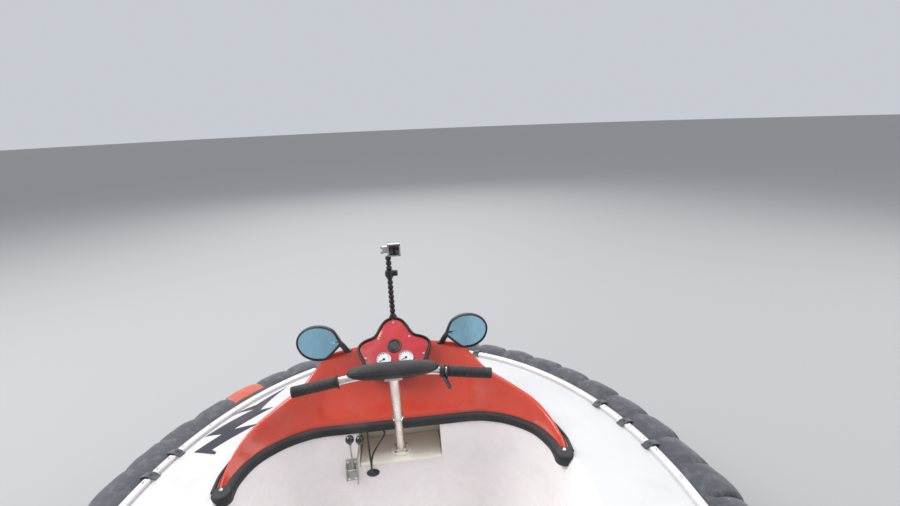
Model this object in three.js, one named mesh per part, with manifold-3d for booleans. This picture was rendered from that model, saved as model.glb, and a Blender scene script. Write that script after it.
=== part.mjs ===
// Light two-seat hovercraft: a decked hull on skids inside a skirt of bulging fingers, a
// straddle cockpit behind a sweeping cowl, and a ducted fan with twin rudders at the stern.
// Millimetres. +X is starboard, +Y forward, +Z up. The origin is on the ground, mid-craft.

import * as THREE from "three";
import { mergeVertices } from "three/addons/utils/BufferGeometryUtils.js";
import Module from "manifold-3d";

const wasm = await Module();
wasm.setup();

// Driving dimensions
const GAP = 0.3; // left between pieces that touch
const RIM = {
  halfWidth: 850,
  bowCentreY: 580, // the bow is half an ellipse about this line
  bowLength: 995,
  sternY: -1575,
  cornerRadius: 320,
  top: 450,
  bottom: 430,
  bowSteps: 22,
  cornerSteps: 5,
};
const SKIRT = { fingers: 70, bowFingers: 24, sideFingers: 17, steps: 3, bottom: 6 };
const SKID = { spacing: 400, halfWidth: 32, height: 60, foreY: 1000, aftY: -1150, rake: 60 };
const DECK_TOP = 520;
const COCKPIT = {
  halfWidth: 515,
  frontY: 955,
  rearY: -640,
  frontRadius: 280,
  rearRadius: 130,
  wall: 10,
};
const SHELF = { halfWidth: 140, rearY: 904, frontY: 1040, top: 400, thickness: 15 };
const SEAT = { halfWidth: 140, rearY: -560, frontY: 470, pedestalTop: 440 };
const COLUMN = { foot: new THREE.Vector3(0, 955, 400), head: new THREE.Vector3(0, 845, 775) };
const BAR = { radius: 12, clampHalf: 90, gripX: 165, endX: 295, sweep: 26, drop: 15, steps: 14 };
const DASH = { y: 1062, z: 700, slopeDeg: 39.8, panel: 8, edge: 9, depth: 125 };
const MIRROR = { x: 266, y: 1112, z: 763, halfWidth: 76, halfHeight: 64, tipX: 90, tipZ: -26 };
const FAN = {
  axisZ: 1005,
  frontY: -925,
  rearY: -1475,
  boreRadius: 410,
  outerRadius: 475,
  exitRadius: 434,
  tipRadius: 400,
  bladeY: -1100,
  blades: 9,
  shaftRadius: 15,
  shaftBore: 15.5,
};
const DRIVE = { y: -860, width: 36, fanPulley: 90, enginePulley: 60, engineZ: 735 };
const RUDDER = { x: 150, hingeY: -1510, noseY: -1491, tailY: -1655, halfHeight: 386, thickness: 24 };
const POD = { x: 650, y: -1205, z: 620, halfWidth: 180, halfLength: 375, halfHeight: 262 };

// Finishes seen on the craft: colour, roughness, metalness
const FINISHES = {
  white: [0xe9e8ea, 0.3, 0],
  cream: [0xd9d6c4, 0.5, 0],
  red: [0xd5301f, 0.2, 0],
  fabric: [0x3a3c46, 0.7, 0],
  rubber: [0x1b1c20, 0.75, 0],
  black: [0x15161a, 0.4, 0],
  steel: [0xb0ada4, 0.3, 1],
  alloy: [0xa9abae, 0.45, 1],
  dial: [0xe6e6e2, 0.35, 0],
  glass: [0x6fa3bf, 0.05, 0.6],
  seat: [0x1f2024, 0.65, 0],
};

// Solids and meshes

function solidOf(geometry) {
  const bare = geometry.index ? geometry.toNonIndexed() : geometry.clone();
  for (const name of Object.keys(bare.attributes)) {
    if (name !== "position") bare.deleteAttribute(name);
  }
  const merged = mergeVertices(bare, 1e-3);
  const mesh = new wasm.Mesh({
    numProp: 3,
    vertProperties: merged.attributes.position.array,
    triVerts: new Uint32Array(merged.index.array),
  });
  return new wasm.Manifold(mesh);
}

function geometryOf(solid) {
  const mesh = solid.getMesh();
  const points = new Float32Array(mesh.numVert * 3);
  for (let i = 0; i < mesh.numVert; i++) {
    points.set(mesh.vertProperties.subarray(i * mesh.numProp, i * mesh.numProp + 3), i * 3);
  }
  const geometry = new THREE.BufferGeometry();
  geometry.setAttribute("position", new THREE.BufferAttribute(points, 3));
  geometry.setIndex(new THREE.BufferAttribute(mesh.triVerts, 1));
  geometry.computeVertexNormals();
  return geometry;
}

const materials = {};
for (const [name, [color, roughness, metalness]] of Object.entries(FINISHES)) {
  materials[name] = new THREE.MeshStandardMaterial({ color, roughness, metalness });
}

const craft = new THREE.Group();

function add(name, shape, finish, parent = craft) {
  const geometry = shape.isBufferGeometry ? shape : geometryOf(shape);
  const mesh = new THREE.Mesh(geometry, materials[finish]);
  mesh.name = name;
  parent.add(mesh);
  return mesh;
}

// Skins a row of like sections, each a closed loop of points, and closes both ends
// with a fan about their middle, or joins the last to the first when it is a ring.
function loft(sections, ring = false) {
  const count = sections[0].length;
  const points = sections.flat();
  const faces = [];
  const spans = ring ? sections.length : sections.length - 1;
  for (let i = 0; i < spans; i++) {
    const a = i * count;
    const b = ((i + 1) % sections.length) * count;
    for (let j = 0; j < count; j++) {
      const k = (j + 1) % count;
      faces.push([a + j, b + k, b + j], [a + j, a + k, b + k]);
    }
  }
  if (!ring) {
    for (const end of [0, sections.length - 1]) {
      const middle = new THREE.Vector3();
      sections[end].forEach((p) => middle.addScaledVector(p, 1 / count));
      points.push(middle);
      for (let j = 0; j < count; j++) {
        const a = end * count + j;
        const b = end * count + ((j + 1) % count);
        faces.push(end ? [a, b, points.length - 1] : [b, a, points.length - 1]);
      }
    }
  }
  const volume = faces.reduce((sum, [a, b, c]) => {
    return sum + points[a].dot(new THREE.Vector3().crossVectors(points[b], points[c]));
  }, 0);
  const outward = volume > 0 ? faces : faces.map(([a, b, c]) => [a, c, b]);
  const geometry = new THREE.BufferGeometry().setFromPoints(points);
  geometry.setIndex(outward.flat());
  geometry.computeVertexNormals();
  return geometry;
}

function box(x0, x1, y0, y1, z0, z1) {
  const geometry = new THREE.BoxGeometry(x1 - x0, y1 - y0, z1 - z0);
  geometry.translate((x0 + x1) / 2, (y0 + y1) / 2, (z0 + z1) / 2);
  return solidOf(geometry);
}

// A round bar from one point to another.
function bar(from, to, radius, sides = 16) {
  const along = new THREE.Vector3().subVectors(to, from);
  const geometry = new THREE.CylinderGeometry(radius, radius, along.length(), sides);
  const up = new THREE.Vector3(0, 1, 0);
  geometry.applyQuaternion(new THREE.Quaternion().setFromUnitVectors(up, along.clone().normalize()));
  geometry.translate(...from.clone().add(to).multiplyScalar(0.5).toArray());
  return solidOf(geometry);
}

function ball(x, y, z, radius, across = 10, down = 6) {
  const geometry = new THREE.SphereGeometry(radius, across, down);
  geometry.translate(x, y, z);
  return solidOf(geometry);
}

// A body of revolution about the fan's axis from [radius, y] pairs.
function turned(profile, sides, z = FAN.axisZ) {
  const geometry = new THREE.LatheGeometry(profile.map(([r, y]) => new THREE.Vector2(r, y)), sides);
  geometry.translate(0, 0, z);
  const solid = solidOf(geometry);
  if (solid.volume() > 0) return solid;
  const turnedRound = new THREE.LatheGeometry(
    [...profile].reverse().map(([r, y]) => new THREE.Vector2(r, y)),
    sides,
  );
  turnedRound.translate(0, 0, z);
  return solidOf(turnedRound);
}

// A tube along a curve, with a round section.
function tube(curve, radius, steps, sides = 8) {
  const section = new THREE.Shape();
  for (let i = 0; i < sides; i++) {
    const angle = (i * 2 * Math.PI) / sides;
    const [x, y] = [radius * Math.cos(angle), radius * Math.sin(angle)];
    if (i === 0) section.moveTo(x, y);
    else section.lineTo(x, y);
  }
  section.closePath();
  return solidOf(new THREE.ExtrudeGeometry(section, { steps, extrudePath: curve, curveSegments: 1 }));
}

const union = (first, ...rest) => rest.reduce((sum, next) => sum.add(next), first);
const vec = (x, y, z) => new THREE.Vector3(x, y, z);
const mirrored = (solid) => solid.mirror([1, 0, 0]);
const largest = (solid) => solid.decompose().sort((a, b) => b.volume() - a.volume())[0];

// Outlines seen from above

// Points on a quarter circle that starts so many half turns round.
function quarter(x, y, radius, start, steps) {
  const [from, to] = [start * Math.PI, (start + 0.5) * Math.PI];
  return new THREE.EllipseCurve(x, y, radius, radius, from, to).getPoints(steps);
}

function rimOutline(inset, z) {
  const [a, b] = [RIM.halfWidth - inset, RIM.bowLength - inset];
  const radius = Math.max(RIM.cornerRadius - inset, 20);
  const cornerY = RIM.sternY + inset + radius;
  const arcs = [
    new THREE.EllipseCurve(0, RIM.bowCentreY, a, b, 0, Math.PI).getPoints(RIM.bowSteps),
    quarter(-a + radius, cornerY, radius, 1, RIM.cornerSteps),
    quarter(a - radius, cornerY, radius, 1.5, RIM.cornerSteps),
  ];
  return arcs.flat().map((p) => vec(p.x, p.y, z));
}

function roundedBox(x0, x1, y0, y1, frontRadius, rearRadius, z, steps = 4) {
  const corners = [
    [x1 - frontRadius, y1 - frontRadius, frontRadius, 0],
    [x0 + frontRadius, y1 - frontRadius, frontRadius, 0.5],
    [x0 + rearRadius, y0 + rearRadius, rearRadius, 1],
    [x1 - rearRadius, y0 + rearRadius, rearRadius, 1.5],
  ]; // centre x, centre y, radius, first angle in half turns
  return corners.flatMap(([x, y, radius, start]) => {
    return quarter(x, y, radius, start, steps).map((p) => vec(p.x, p.y, z));
  });
}

function cockpitOutline(grow, z) {
  const { halfWidth, frontY, rearY, frontRadius, rearRadius } = COCKPIT;
  return roundedBox(
    -halfWidth - grow,
    halfWidth + grow,
    rearY - grow,
    frontY + grow,
    Math.max(frontRadius + grow, 20),
    Math.max(rearRadius + grow, 20),
    z,
    7,
  );
}

// Hull, deck and cockpit

const HULL_RINGS = [
  [300, SKID.height],
  [215, 75],
  [140, 250],
  [75, 380],
  [60, RIM.bottom - GAP],
]; // inset from the rim, height
const DECK_RINGS = [
  [0, RIM.bottom],
  [0, RIM.top],
  [28, RIM.top],
  [62, 464],
  [140, 485],
  [230, 505],
  [320, DECK_TOP],
]; // inset from the rim, height
const TUB_RINGS = [
  [-145, 130],
  [-100, 150],
  [-66, 250],
  [-32, 430],
  [0, DECK_TOP],
]; // growth on the cockpit's opening, height, on the inner face

const deckEnvelope = solidOf(loft(DECK_RINGS.map(([inset, z]) => rimOutline(inset, z))));
const hullEnvelope = solidOf(loft(HULL_RINGS.map(([inset, z]) => rimOutline(inset, z))));

function tubOuter(extra) {
  const rings = TUB_RINGS.map(([grow, z]) => [grow + COCKPIT.wall + extra, z]);
  rings[0][1] -= COCKPIT.wall + extra;
  return rings;
}
const shelfNiche = box(
  -SHELF.halfWidth - GAP,
  SHELF.halfWidth + GAP,
  SHELF.rearY,
  SHELF.frontY + GAP,
  SHELF.top - SHELF.thickness - GAP,
  DECK_TOP + 1,
);
const wellRings = [...tubOuter(GAP), [COCKPIT.wall + GAP, DECK_TOP + 1]];
const well = solidOf(loft(wellRings.map(([grow, z]) => cockpitOutline(grow, z)))).add(shelfNiche);

add("hull", hullEnvelope.subtract(well), "white");
add("deck", deckEnvelope.subtract(well), "white");

const tubRings = [...TUB_RINGS, ...tubOuter(0).reverse()];
const tub = solidOf(loft(tubRings.map(([grow, z]) => cockpitOutline(grow, z))));
add("cockpit_tub", tub.subtract(shelfNiche), "white");
add(
  "column_shelf",
  box(
    -SHELF.halfWidth,
    SHELF.halfWidth,
    SHELF.rearY,
    SHELF.frontY,
    SHELF.top - SHELF.thickness,
    SHELF.top,
  ),
  "cream",
);

// Batten round the rim that clamps the skirt's edge
const RAIL = { outer: 2, inner: 26, height: 12 };
const railRings = [
  rimOutline(RAIL.outer, RIM.top + GAP),
  rimOutline(RAIL.outer, RIM.top + RAIL.height),
  rimOutline(RAIL.inner, RIM.top + RAIL.height),
  rimOutline(RAIL.inner, RIM.top + GAP),
];
add("rim_rail", loft(railRings[0].map((_, j) => railRings.map((ring) => ring[j])), true), "white");

// Landing skids
for (const [name, side] of [["port", -1], ["centre", 0], ["starboard", 1]]) {
  const profile = new THREE.Shape();
  profile.moveTo(SKID.aftY, SKID.height - GAP);
  profile.lineTo(SKID.aftY + SKID.rake, 0);
  profile.lineTo(SKID.foreY - SKID.rake, 0);
  profile.lineTo(SKID.foreY, SKID.height - GAP);
  const skid = new THREE.ExtrudeGeometry(profile, { depth: 2 * SKID.halfWidth, bevelEnabled: false });
  skid.translate(0, 0, -SKID.halfWidth);
  skid.applyMatrix4(new THREE.Matrix4().makeBasis(vec(0, 1, 0), vec(0, 0, 1), vec(1, 0, 0)));
  skid.translate(side * SKID.spacing, 0, 0);
  add("skid_" + name, skid, "black");
}

// Skirt

// The rim's edge from the bow's tip round by port, evenly divided by length
const rimPath = new THREE.Path();
rimPath.moveTo(0, RIM.bowCentreY + RIM.bowLength);
rimPath.absellipse(0, RIM.bowCentreY, RIM.halfWidth, RIM.bowLength, Math.PI / 2, Math.PI);
const cornerX = RIM.halfWidth - RIM.cornerRadius;
const cornerY = RIM.sternY + RIM.cornerRadius;
rimPath.absarc(-cornerX, cornerY, RIM.cornerRadius, Math.PI, 1.5 * Math.PI);
rimPath.absarc(cornerX, cornerY, RIM.cornerRadius, 1.5 * Math.PI, 2 * Math.PI);
rimPath.absellipse(0, RIM.bowCentreY, RIM.halfWidth, RIM.bowLength, 0, Math.PI / 2);
rimPath.arcLengthDivisions = 2000;

const FINGER = [
  [0.8, 0, 446, 0],
  [58, 3, 452, 11],
  [98, 9, 428, 13],
  [112, 22, 350, 0],
  [92, 24, 170, 0],
  [-30, 14, SKIRT.bottom, 0],
  [-120, 0, SKIRT.bottom, 0],
  [-195, 0, 82, 0],
  [0.8, 0, 428, 0],
]; // distance outside the rim at a valley, more at a crest, height at a valley, more at a crest
const REACH = { end: 0.75, side: 1.1 }; // share of that distance at the bow and stern, and at the sides

function fingerSection(turn) {
  const at = ((turn % 1) + 1) % 1;
  const point = rimPath.getPoint(at);
  const tangent = rimPath.getTangent(at);
  const out = vec(tangent.y, -tangent.x, 0).normalize();
  const phase = at * SKIRT.fingers;
  const crest = Math.abs(Math.sin(Math.PI * phase)) ** 0.7;
  const share = REACH.end + (REACH.side - REACH.end) * Math.abs(out.x);
  return FINGER.map(([reach, reachMore, z, zMore]) => {
    const full = reach + reachMore * crest;
    const along = full > 1 ? full * share : full;
    return vec(point.x + out.x * along, point.y + out.y * along, z + zMore * crest);
  });
}

const bowHalf = SKIRT.bowFingers / 2;
const sternFingers = SKIRT.fingers - SKIRT.bowFingers - 2 * SKIRT.sideFingers;
const skirtParts = [
  ["bow", -bowHalf, SKIRT.bowFingers],
  ["port", bowHalf, SKIRT.sideFingers],
  ["stern", bowHalf + SKIRT.sideFingers, sternFingers],
  ["starboard", -bowHalf - SKIRT.sideFingers, SKIRT.sideFingers],
]; // name, first finger counted from the bow's tip, fingers
const rimLength = rimPath.getLength();
for (const [name, first, count] of skirtParts) {
  const sections = [];
  for (let i = 0; i <= count * SKIRT.steps; i++) {
    let finger = first + i / SKIRT.steps;
    const trim = (GAP / rimLength) * SKIRT.fingers;
    if (i === 0) finger += trim;
    if (i === count * SKIRT.steps) finger -= trim;
    sections.push(fingerSection(finger / SKIRT.fingers));
  }
  add("skirt_" + name, loft(sections), "fabric");
}

// Cowl and its rubber trim

const COWL_STATIONS = [
  [172, 34, -8, -3, 533, 22],
  [166, 30, -5, 5, 538, 30],
  [158, 24, -2, 15, 546, 44],
  [145, 18, 0, 31, 565, 66],
  [133, 16, 0, 44, 586, 92],
  [118, 16, 0, 57, 611, 135],
  [104, 16, 0, 80, 645, 200],
  [97, 16, 0, 120, 675, 255],
  [90, 16, 0, 168, 703, 315],
]; // angle round the cockpit's front corner, trim inside and outside the edge, crest, its height, foot
const COWL_MIDDLE = [
  [-150, 16, 0, 182, 714, 330],
  [-75, 16, 0, 190, 722, 345],
  [0, 16, 0, 192, 724, 350],
]; // across the straight front: x, then the same five
const TRIM = { height: 7, hang: 22, back: 10.5, seat: 3 };

function cowlStations() {
  const { halfWidth, frontY, frontRadius } = COCKPIT;
  const centre = vec(-halfWidth + frontRadius, frontY - frontRadius, 0);
  const round = COWL_STATIONS.map(([degrees, ...sizes]) => {
    const angle = THREE.MathUtils.degToRad(degrees);
    const out = vec(Math.cos(angle), Math.sin(angle), 0);
    return { edge: centre.clone().addScaledVector(out, frontRadius), out, sizes };
  });
  const across = COWL_MIDDLE.map(([x, ...sizes]) => {
    return { edge: vec(x, frontY, 0), out: vec(0, 1, 0), sizes };
  });
  const half = [...round, ...across];
  const other = half.slice(0, -1).reverse().map(({ edge, out, sizes }) => {
    return { edge: vec(-edge.x, edge.y, 0), out: vec(-out.x, out.y, 0), sizes };
  });
  return [...half, ...other];
}
const stations = cowlStations();
const place = ({ edge, out }, along, z) => vec(edge.x + out.x * along, edge.y + out.y * along, z);

const trimTop = DECK_TOP + TRIM.height;
const cowlSections = stations.map((station) => {
  const [, band, crest, height, foot] = station.sizes;
  const low = Math.min(trimTop, height - 2);
  const rise = height - low;
  const span = crest - band;
  return [
    place(station, band + GAP, 470),
    place(station, band + GAP, low),
    place(station, band + span * 0.45, low + rise * 0.4),
    place(station, band + span * 0.8, low + rise * 0.84),
    place(station, crest, height),
    place(station, crest + (foot - crest) * 0.3, height - (height - 500) * 0.16),
    place(station, crest + (foot - crest) * 0.72, height - (height - 500) * 0.55),
    place(station, foot, 500),
    place(station, foot, 470),
  ];
});
const cowl = solidOf(loft(cowlSections))
  .subtract(deckEnvelope.translate([0, 0, GAP]))
  .subtract(well);
add("cowl", cowl, "red");

const trimSections = stations.map((station) => {
  const [lip, band] = station.sizes;
  return [
    place(station, -lip, DECK_TOP - TRIM.hang),
    place(station, -lip, DECK_TOP - 2),
    place(station, -lip / 2 - 4, trimTop - 0.5),
    place(station, band, trimTop),
    place(station, band, DECK_TOP + GAP),
    place(station, Math.min(-TRIM.seat, band - 3), DECK_TOP + GAP),
    place(station, -TRIM.back, DECK_TOP - TRIM.hang),
  ];
});
function tailCap(side) {
  const first = stations[0];
  const [lip, , , height, foot] = first.sizes;
  const width = foot + lip;
  const middle = place(first, (foot - lip) / 2, DECK_TOP + GAP);
  const disc = new THREE.CylinderGeometry(width / 2, width / 2, height - DECK_TOP - GAP, 20);
  disc.rotateX(Math.PI / 2);
  disc.translate(middle.x, middle.y, (height + DECK_TOP + GAP) / 2);
  const cap = solidOf(disc);
  const keep = new THREE.BoxGeometry(200, 200, 200).translate(middle.x, middle.y - 100 - GAP, DECK_TOP);
  const piece = cap.intersect(solidOf(keep));
  return side < 0 ? piece : mirrored(piece);
}
const intoCap = (section) => section.map((p) => vec(p.x, p.y - 6, p.z));
const trimEnds = [trimSections[0], trimSections.at(-1)].map(intoCap);
const trimBand = solidOf(loft([trimEnds[0], ...trimSections, trimEnds[1]]));
const columnClearance = bar(COLUMN.foot, COLUMN.head, 17.4, 12);
const trim = union(trimBand, tailCap(-1), tailCap(1)).subtract(columnClearance);
add("cowl_trim", trim, "rubber");

const cowlLifted = cowl.translate([0, 0, 2 * GAP]);

// Dash on top of the cowl

const slope = THREE.MathUtils.degToRad(DASH.slopeDeg);
const dashFrame = new THREE.Matrix4().makeBasis(
  vec(1, 0, 0),
  vec(0, Math.cos(slope), Math.sin(slope)),
  vec(0, -Math.sin(slope), Math.cos(slope)),
);
dashFrame.setPosition(0, DASH.y, DASH.z);

const SHIELD = [
  [0, -46],
  [74, -44],
  [100, -14],
  [124, 44],
  [110, 68],
  [70, 84],
  [52, 112],
  [24, 146],
  [0, 156],
]; // starboard half of the dash's outline, up the slope from the gauges' row

function shieldShape(grow) {
  const half = SHIELD.map(([x, y]) => new THREE.Vector2(x, y));
  const outline = [...half, ...half.slice(1, -1).reverse().map((p) => new THREE.Vector2(-p.x, p.y))];
  const grown = outline.map((p, i) => {
    const before = outline[(i + outline.length - 1) % outline.length];
    const after = outline[(i + 1) % outline.length];
    const along = new THREE.Vector2().subVectors(after, before).normalize();
    return new THREE.Vector2(p.x + along.y * grow, p.y - along.x * grow);
  });
  return new THREE.Shape(grown);
}

function shieldPlate(grow, low, high) {
  const plate = new THREE.ExtrudeGeometry(shieldShape(grow), { depth: high - low, bevelEnabled: false });
  plate.translate(0, 0, low);
  plate.applyMatrix4(dashFrame);
  return solidOf(plate);
}

function dashDisc(x, y, radius, low, high) {
  const disc = new THREE.CylinderGeometry(radius, radius, high - low, 20);
  disc.rotateX(Math.PI / 2);
  disc.translate(x, y, (low + high) / 2);
  disc.applyMatrix4(dashFrame);
  return disc;
}

const dashCavity = shieldPlate(GAP, -DASH.panel - GAP, 40);
const dashHousing = shieldPlate(DASH.edge, -DASH.depth, 4).subtract(dashCavity);
const dashBody = dashHousing.subtract(cowlLifted).subtract(deckEnvelope.translate([0, 0, 60]));
add("dash_housing", largest(dashBody), "rubber");
add("dash_panel", shieldPlate(0, -DASH.panel, 0), "red");
for (const [name, x] of [["port", -39], ["starboard", 39]]) {
  add("gauge_" + name, dashDisc(x, 0, 26, GAP, 9), "dial");
}
add("dash_switch", dashDisc(0, 47, 27, GAP, 6), "black");

// Flexible arm on the dash's peak, with a small action camera

const ARM = { y: 1192, footZ: 802, topZ: 1046, beads: 11, bead: 8, neck: 5.5, sides: 6, knobZ: 978 };
const armProfile = [[0, ARM.footZ]];
const beadPitch = (ARM.topZ - ARM.footZ) / ARM.beads;
for (let i = 0; i < ARM.beads; i++) {
  armProfile.push([ARM.neck, ARM.footZ + i * beadPitch]);
  armProfile.push([ARM.bead, ARM.footZ + (i + 0.5) * beadPitch]);
}
armProfile.push([ARM.neck, ARM.topZ], [0, ARM.topZ]);
const armBeads = new THREE.LatheGeometry(armProfile.map(([r, z]) => new THREE.Vector2(r, z)), ARM.sides);
armBeads.rotateX(Math.PI / 2);
armBeads.translate(0, ARM.y, 0);
const armFoot = box(-16, 16, ARM.y - 12, ARM.y + 12, 770, ARM.footZ + 4);
const armKnob = bar(vec(0, ARM.y, ARM.knobZ), vec(30, ARM.y, ARM.knobZ), 11, 10);
const dashAll = shieldPlate(DASH.edge + GAP, -DASH.depth, 4 + GAP);
const cameraArm = union(solidOf(armBeads), armFoot, armKnob);
add("camera_arm", cameraArm.subtract(dashAll).subtract(cowlLifted), "black");

const CAMERA = { x: 10, width: 70, depth: 32, height: 46, lens: 11 };
const cameraBody = box(
  CAMERA.x - CAMERA.width / 2,
  CAMERA.x + CAMERA.width / 2,
  ARM.y - CAMERA.depth / 2,
  ARM.y + CAMERA.depth / 2,
  ARM.topZ + GAP,
  ARM.topZ + GAP + CAMERA.height,
);
const lensZ = ARM.topZ + CAMERA.height * 0.6;
const lensX = CAMERA.x - 18;
const lensFrontY = ARM.y + CAMERA.depth / 2 + 8;
const cameraLens = bar(vec(lensX, ARM.y, lensZ), vec(lensX, lensFrontY, lensZ), CAMERA.lens, 16);
add("action_camera", union(cameraBody, cameraLens), "black");

// Mirrors

function mirrorShape(inset) {
  const [w, h] = [MIRROR.halfWidth - inset, MIRROR.halfHeight - inset];
  const shape = new THREE.Shape();
  const start = THREE.MathUtils.degToRad(28);
  const end = THREE.MathUtils.degToRad(290);
  shape.moveTo(MIRROR.tipX - inset * 1.6, MIRROR.tipZ + inset * 0.2);
  shape.lineTo(w * Math.cos(start) - 4, h * Math.sin(start));
  shape.absellipse(-4, 0, w, h, start, end, false);
  return shape;
}

function mirrorPlate(inset, low, high) {
  const plate = new THREE.ExtrudeGeometry(mirrorShape(inset), {
    depth: high - low,
    bevelEnabled: false,
    curveSegments: 6,
  });
  plate.rotateX(Math.PI / 2);
  plate.translate(-MIRROR.x, MIRROR.y + high, MIRROR.z);
  return solidOf(plate);
}

const mirrorShell = union(
  mirrorPlate(0, 0, 18),
  mirrorPlate(12, 18 - 1, 32),
  mirrorPlate(26, 32 - 1, 42),
);
const stalkTop = vec(-MIRROR.x + MIRROR.tipX - 14, MIRROR.y + 12, MIRROR.z + MIRROR.tipZ + 6);
const stalkFoot = vec(-MIRROR.x + MIRROR.tipX + 10, MIRROR.y + 26, 690);
const mirrorStalk = bar(stalkTop, stalkFoot, 9, 12);
const mirrorBody = union(mirrorShell, mirrorStalk).subtract(cowlLifted).subtract(mirrorPlate(7, -1, 6));
const mirrorFace = mirrorPlate(7 + GAP, 1, 6 - GAP);
const mirrorHousing = largest(mirrorBody);
for (const [name, side] of [["port", -1], ["starboard", 1]]) {
  add("mirror_" + name, side < 0 ? mirrorHousing : mirrored(mirrorHousing), "black");
  add("mirror_glass_" + name, side < 0 ? mirrorFace : mirrored(mirrorFace), "glass");
}

// Steering column and handlebar

const columnAxis = new THREE.Vector3().subVectors(COLUMN.head, COLUMN.foot).normalize();
const onColumn = (t) => COLUMN.foot.clone().addScaledVector(columnAxis, t);
const columnLength = COLUMN.foot.distanceTo(COLUMN.head);
const SLEEVE = { radius: 15, bore: 12, pin: 11.6, top: 184, boreFoot: 110, stem: 17 };
const flange = bar(vec(0, COLUMN.foot.y, SHELF.top + GAP), vec(0, COLUMN.foot.y, SHELF.top + 8), 34, 20);
const sleeve = bar(onColumn(0), onColumn(SLEEVE.top), SLEEVE.radius, 16)
  .subtract(box(-50, 50, 800, 1100, 300, SHELF.top + GAP))
  .add(flange)
  .subtract(bar(onColumn(SLEEVE.boreFoot), onColumn(SLEEVE.top + 5), SLEEVE.bore, 16));
add("column_sleeve", sleeve, "steel");

function barCurve() {
  const path = new THREE.CurvePath();
  const { clampHalf, gripX, endX, sweep, drop } = BAR;
  const { y, z } = COLUMN.head;
  const end = vec(endX, y - sweep, z - drop);
  const bend = vec(clampHalf + 15, y, z);
  const knee = bend.clone().lerp(end, (gripX - bend.x - 25) / (endX - bend.x));
  const flip = (p) => vec(-p.x, p.y, p.z);
  const inner = vec(clampHalf - 10, y, z);
  path.add(new THREE.LineCurve3(flip(end), flip(knee)));
  path.add(new THREE.QuadraticBezierCurve3(flip(knee), flip(bend), flip(inner)));
  path.add(new THREE.LineCurve3(flip(inner), inner));
  path.add(new THREE.QuadraticBezierCurve3(inner, bend, knee));
  path.add(new THREE.LineCurve3(knee, end));
  return { path, knee, end };
}
const { path: barPath, knee: barKnee, end: barEnd } = barCurve();
const handlebar = tube(barPath, BAR.radius, BAR.steps, 10);
const handlebarLoose = tube(barPath, BAR.radius + 2 * GAP, BAR.steps, 10);
add("handlebar", handlebar, "steel");

const stem = union(
  bar(onColumn(SLEEVE.top + 1), onColumn(columnLength + 4), SLEEVE.stem, 16),
  bar(onColumn(SLEEVE.boreFoot + 8), onColumn(SLEEVE.top + 2), SLEEVE.pin, 16),
);
add("steering_stem", stem.subtract(handlebarLoose), "steel");
const stemLoose = bar(onColumn(SLEEVE.top), onColumn(columnLength + 5), SLEEVE.stem + 0.5, 16);

const gripAlong = barEnd.clone().sub(barKnee).normalize();
const gripStart = barKnee.clone().addScaledVector(gripAlong, 24);
const grip = bar(gripStart, barEnd.clone().addScaledVector(gripAlong, 6), 17, 12).subtract(handlebarLoose);
add("grip_starboard", grip, "rubber");
add("grip_port", mirrored(grip), "rubber");

const PAD = { halfWidth: 143, halfDepth: 31, halfHeight: 25, rise: 12 };
const padShape = new THREE.SphereGeometry(1, 14, 6);
padShape.scale(PAD.halfWidth, PAD.halfDepth, PAD.halfHeight);
padShape.translate(COLUMN.head.x, COLUMN.head.y, COLUMN.head.z + PAD.rise);
add("handlebar_pad", solidOf(padShape).subtract(handlebarLoose).subtract(stemLoose), "black");

const throttleAt = barKnee.clone().addScaledVector(gripAlong, 2);
const throttleRing = bar(throttleAt, throttleAt.clone().addScaledVector(gripAlong, 18), 20, 12);
const throttleThumb = bar(
  throttleAt.clone().add(vec(10, -8, -8)),
  throttleAt.clone().add(vec(26, -52, -30)),
  5,
  8,
);
add("throttle_lever", union(throttleRing, throttleThumb).subtract(handlebarLoose), "black");

// Levers and cables at the front of the port footwell

function tubFrontY(z) {
  const above = TUB_RINGS.findIndex(([, ringZ]) => ringZ >= z);
  const [[g0, z0], [g1, z1]] = [TUB_RINGS[above - 1], TUB_RINGS[above]];
  return COCKPIT.frontY + g0 + ((g1 - g0) * (z - z0)) / (z1 - z0);
}
const LEVERS = { x: -168, z: 383, width: 39, height: 76, knob: 12.5 };
const wallTilt = Math.atan2(tubFrontY(420) - tubFrontY(300), 120);
const plateGeometry = new THREE.BoxGeometry(LEVERS.width, 4, LEVERS.height);
plateGeometry.rotateX(-wallTilt);
plateGeometry.translate(LEVERS.x, tubFrontY(LEVERS.z) - 2 - 0.6, LEVERS.z);
const leverParts = [solidOf(plateGeometry)];
for (const [footX, knobX, knobZ] of [[-163, -164, 508], [-155, -131, 503]]) {
  const foot = vec(footX, tubFrontY(392) - 5, 392);
  leverParts.push(bar(foot, vec(knobX, 901, knobZ), 3, 8));
  leverParts.push(ball(knobX, 901, knobZ, LEVERS.knob));
}
add("control_levers", union(...leverParts), "steel");

const GROMMET = { x: -99, z: 362, halfWidth: 21, halfHeight: 13, proud: 7 };
const grommetGeometry = new THREE.CylinderGeometry(1, 1, GROMMET.proud, 16);
grommetGeometry.scale(GROMMET.halfWidth, 1, GROMMET.halfHeight);
grommetGeometry.rotateX(-wallTilt);
grommetGeometry.translate(GROMMET.x, tubFrontY(GROMMET.z) - GROMMET.proud / 2 - 0.6, GROMMET.z);
const cableParts = [solidOf(grommetGeometry)];
for (const [topX, midX] of [[-109, -106], [-54, -72]]) {
  const run = new THREE.CatmullRomCurve3([
    vec(topX, 940.5, DECK_TOP - TRIM.hang - GAP),
    vec(topX, 938, 482),
    vec(midX, 904, 440),
    vec(GROMMET.x - 2, 892, 398),
    vec(GROMMET.x, tubFrontY(GROMMET.z) - GROMMET.proud, GROMMET.z + 4),
  ]);
  cableParts.push(tube(run, 3, 9, 5));
}
add("control_cables", union(...cableParts), "rubber");

// Seat

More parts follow.
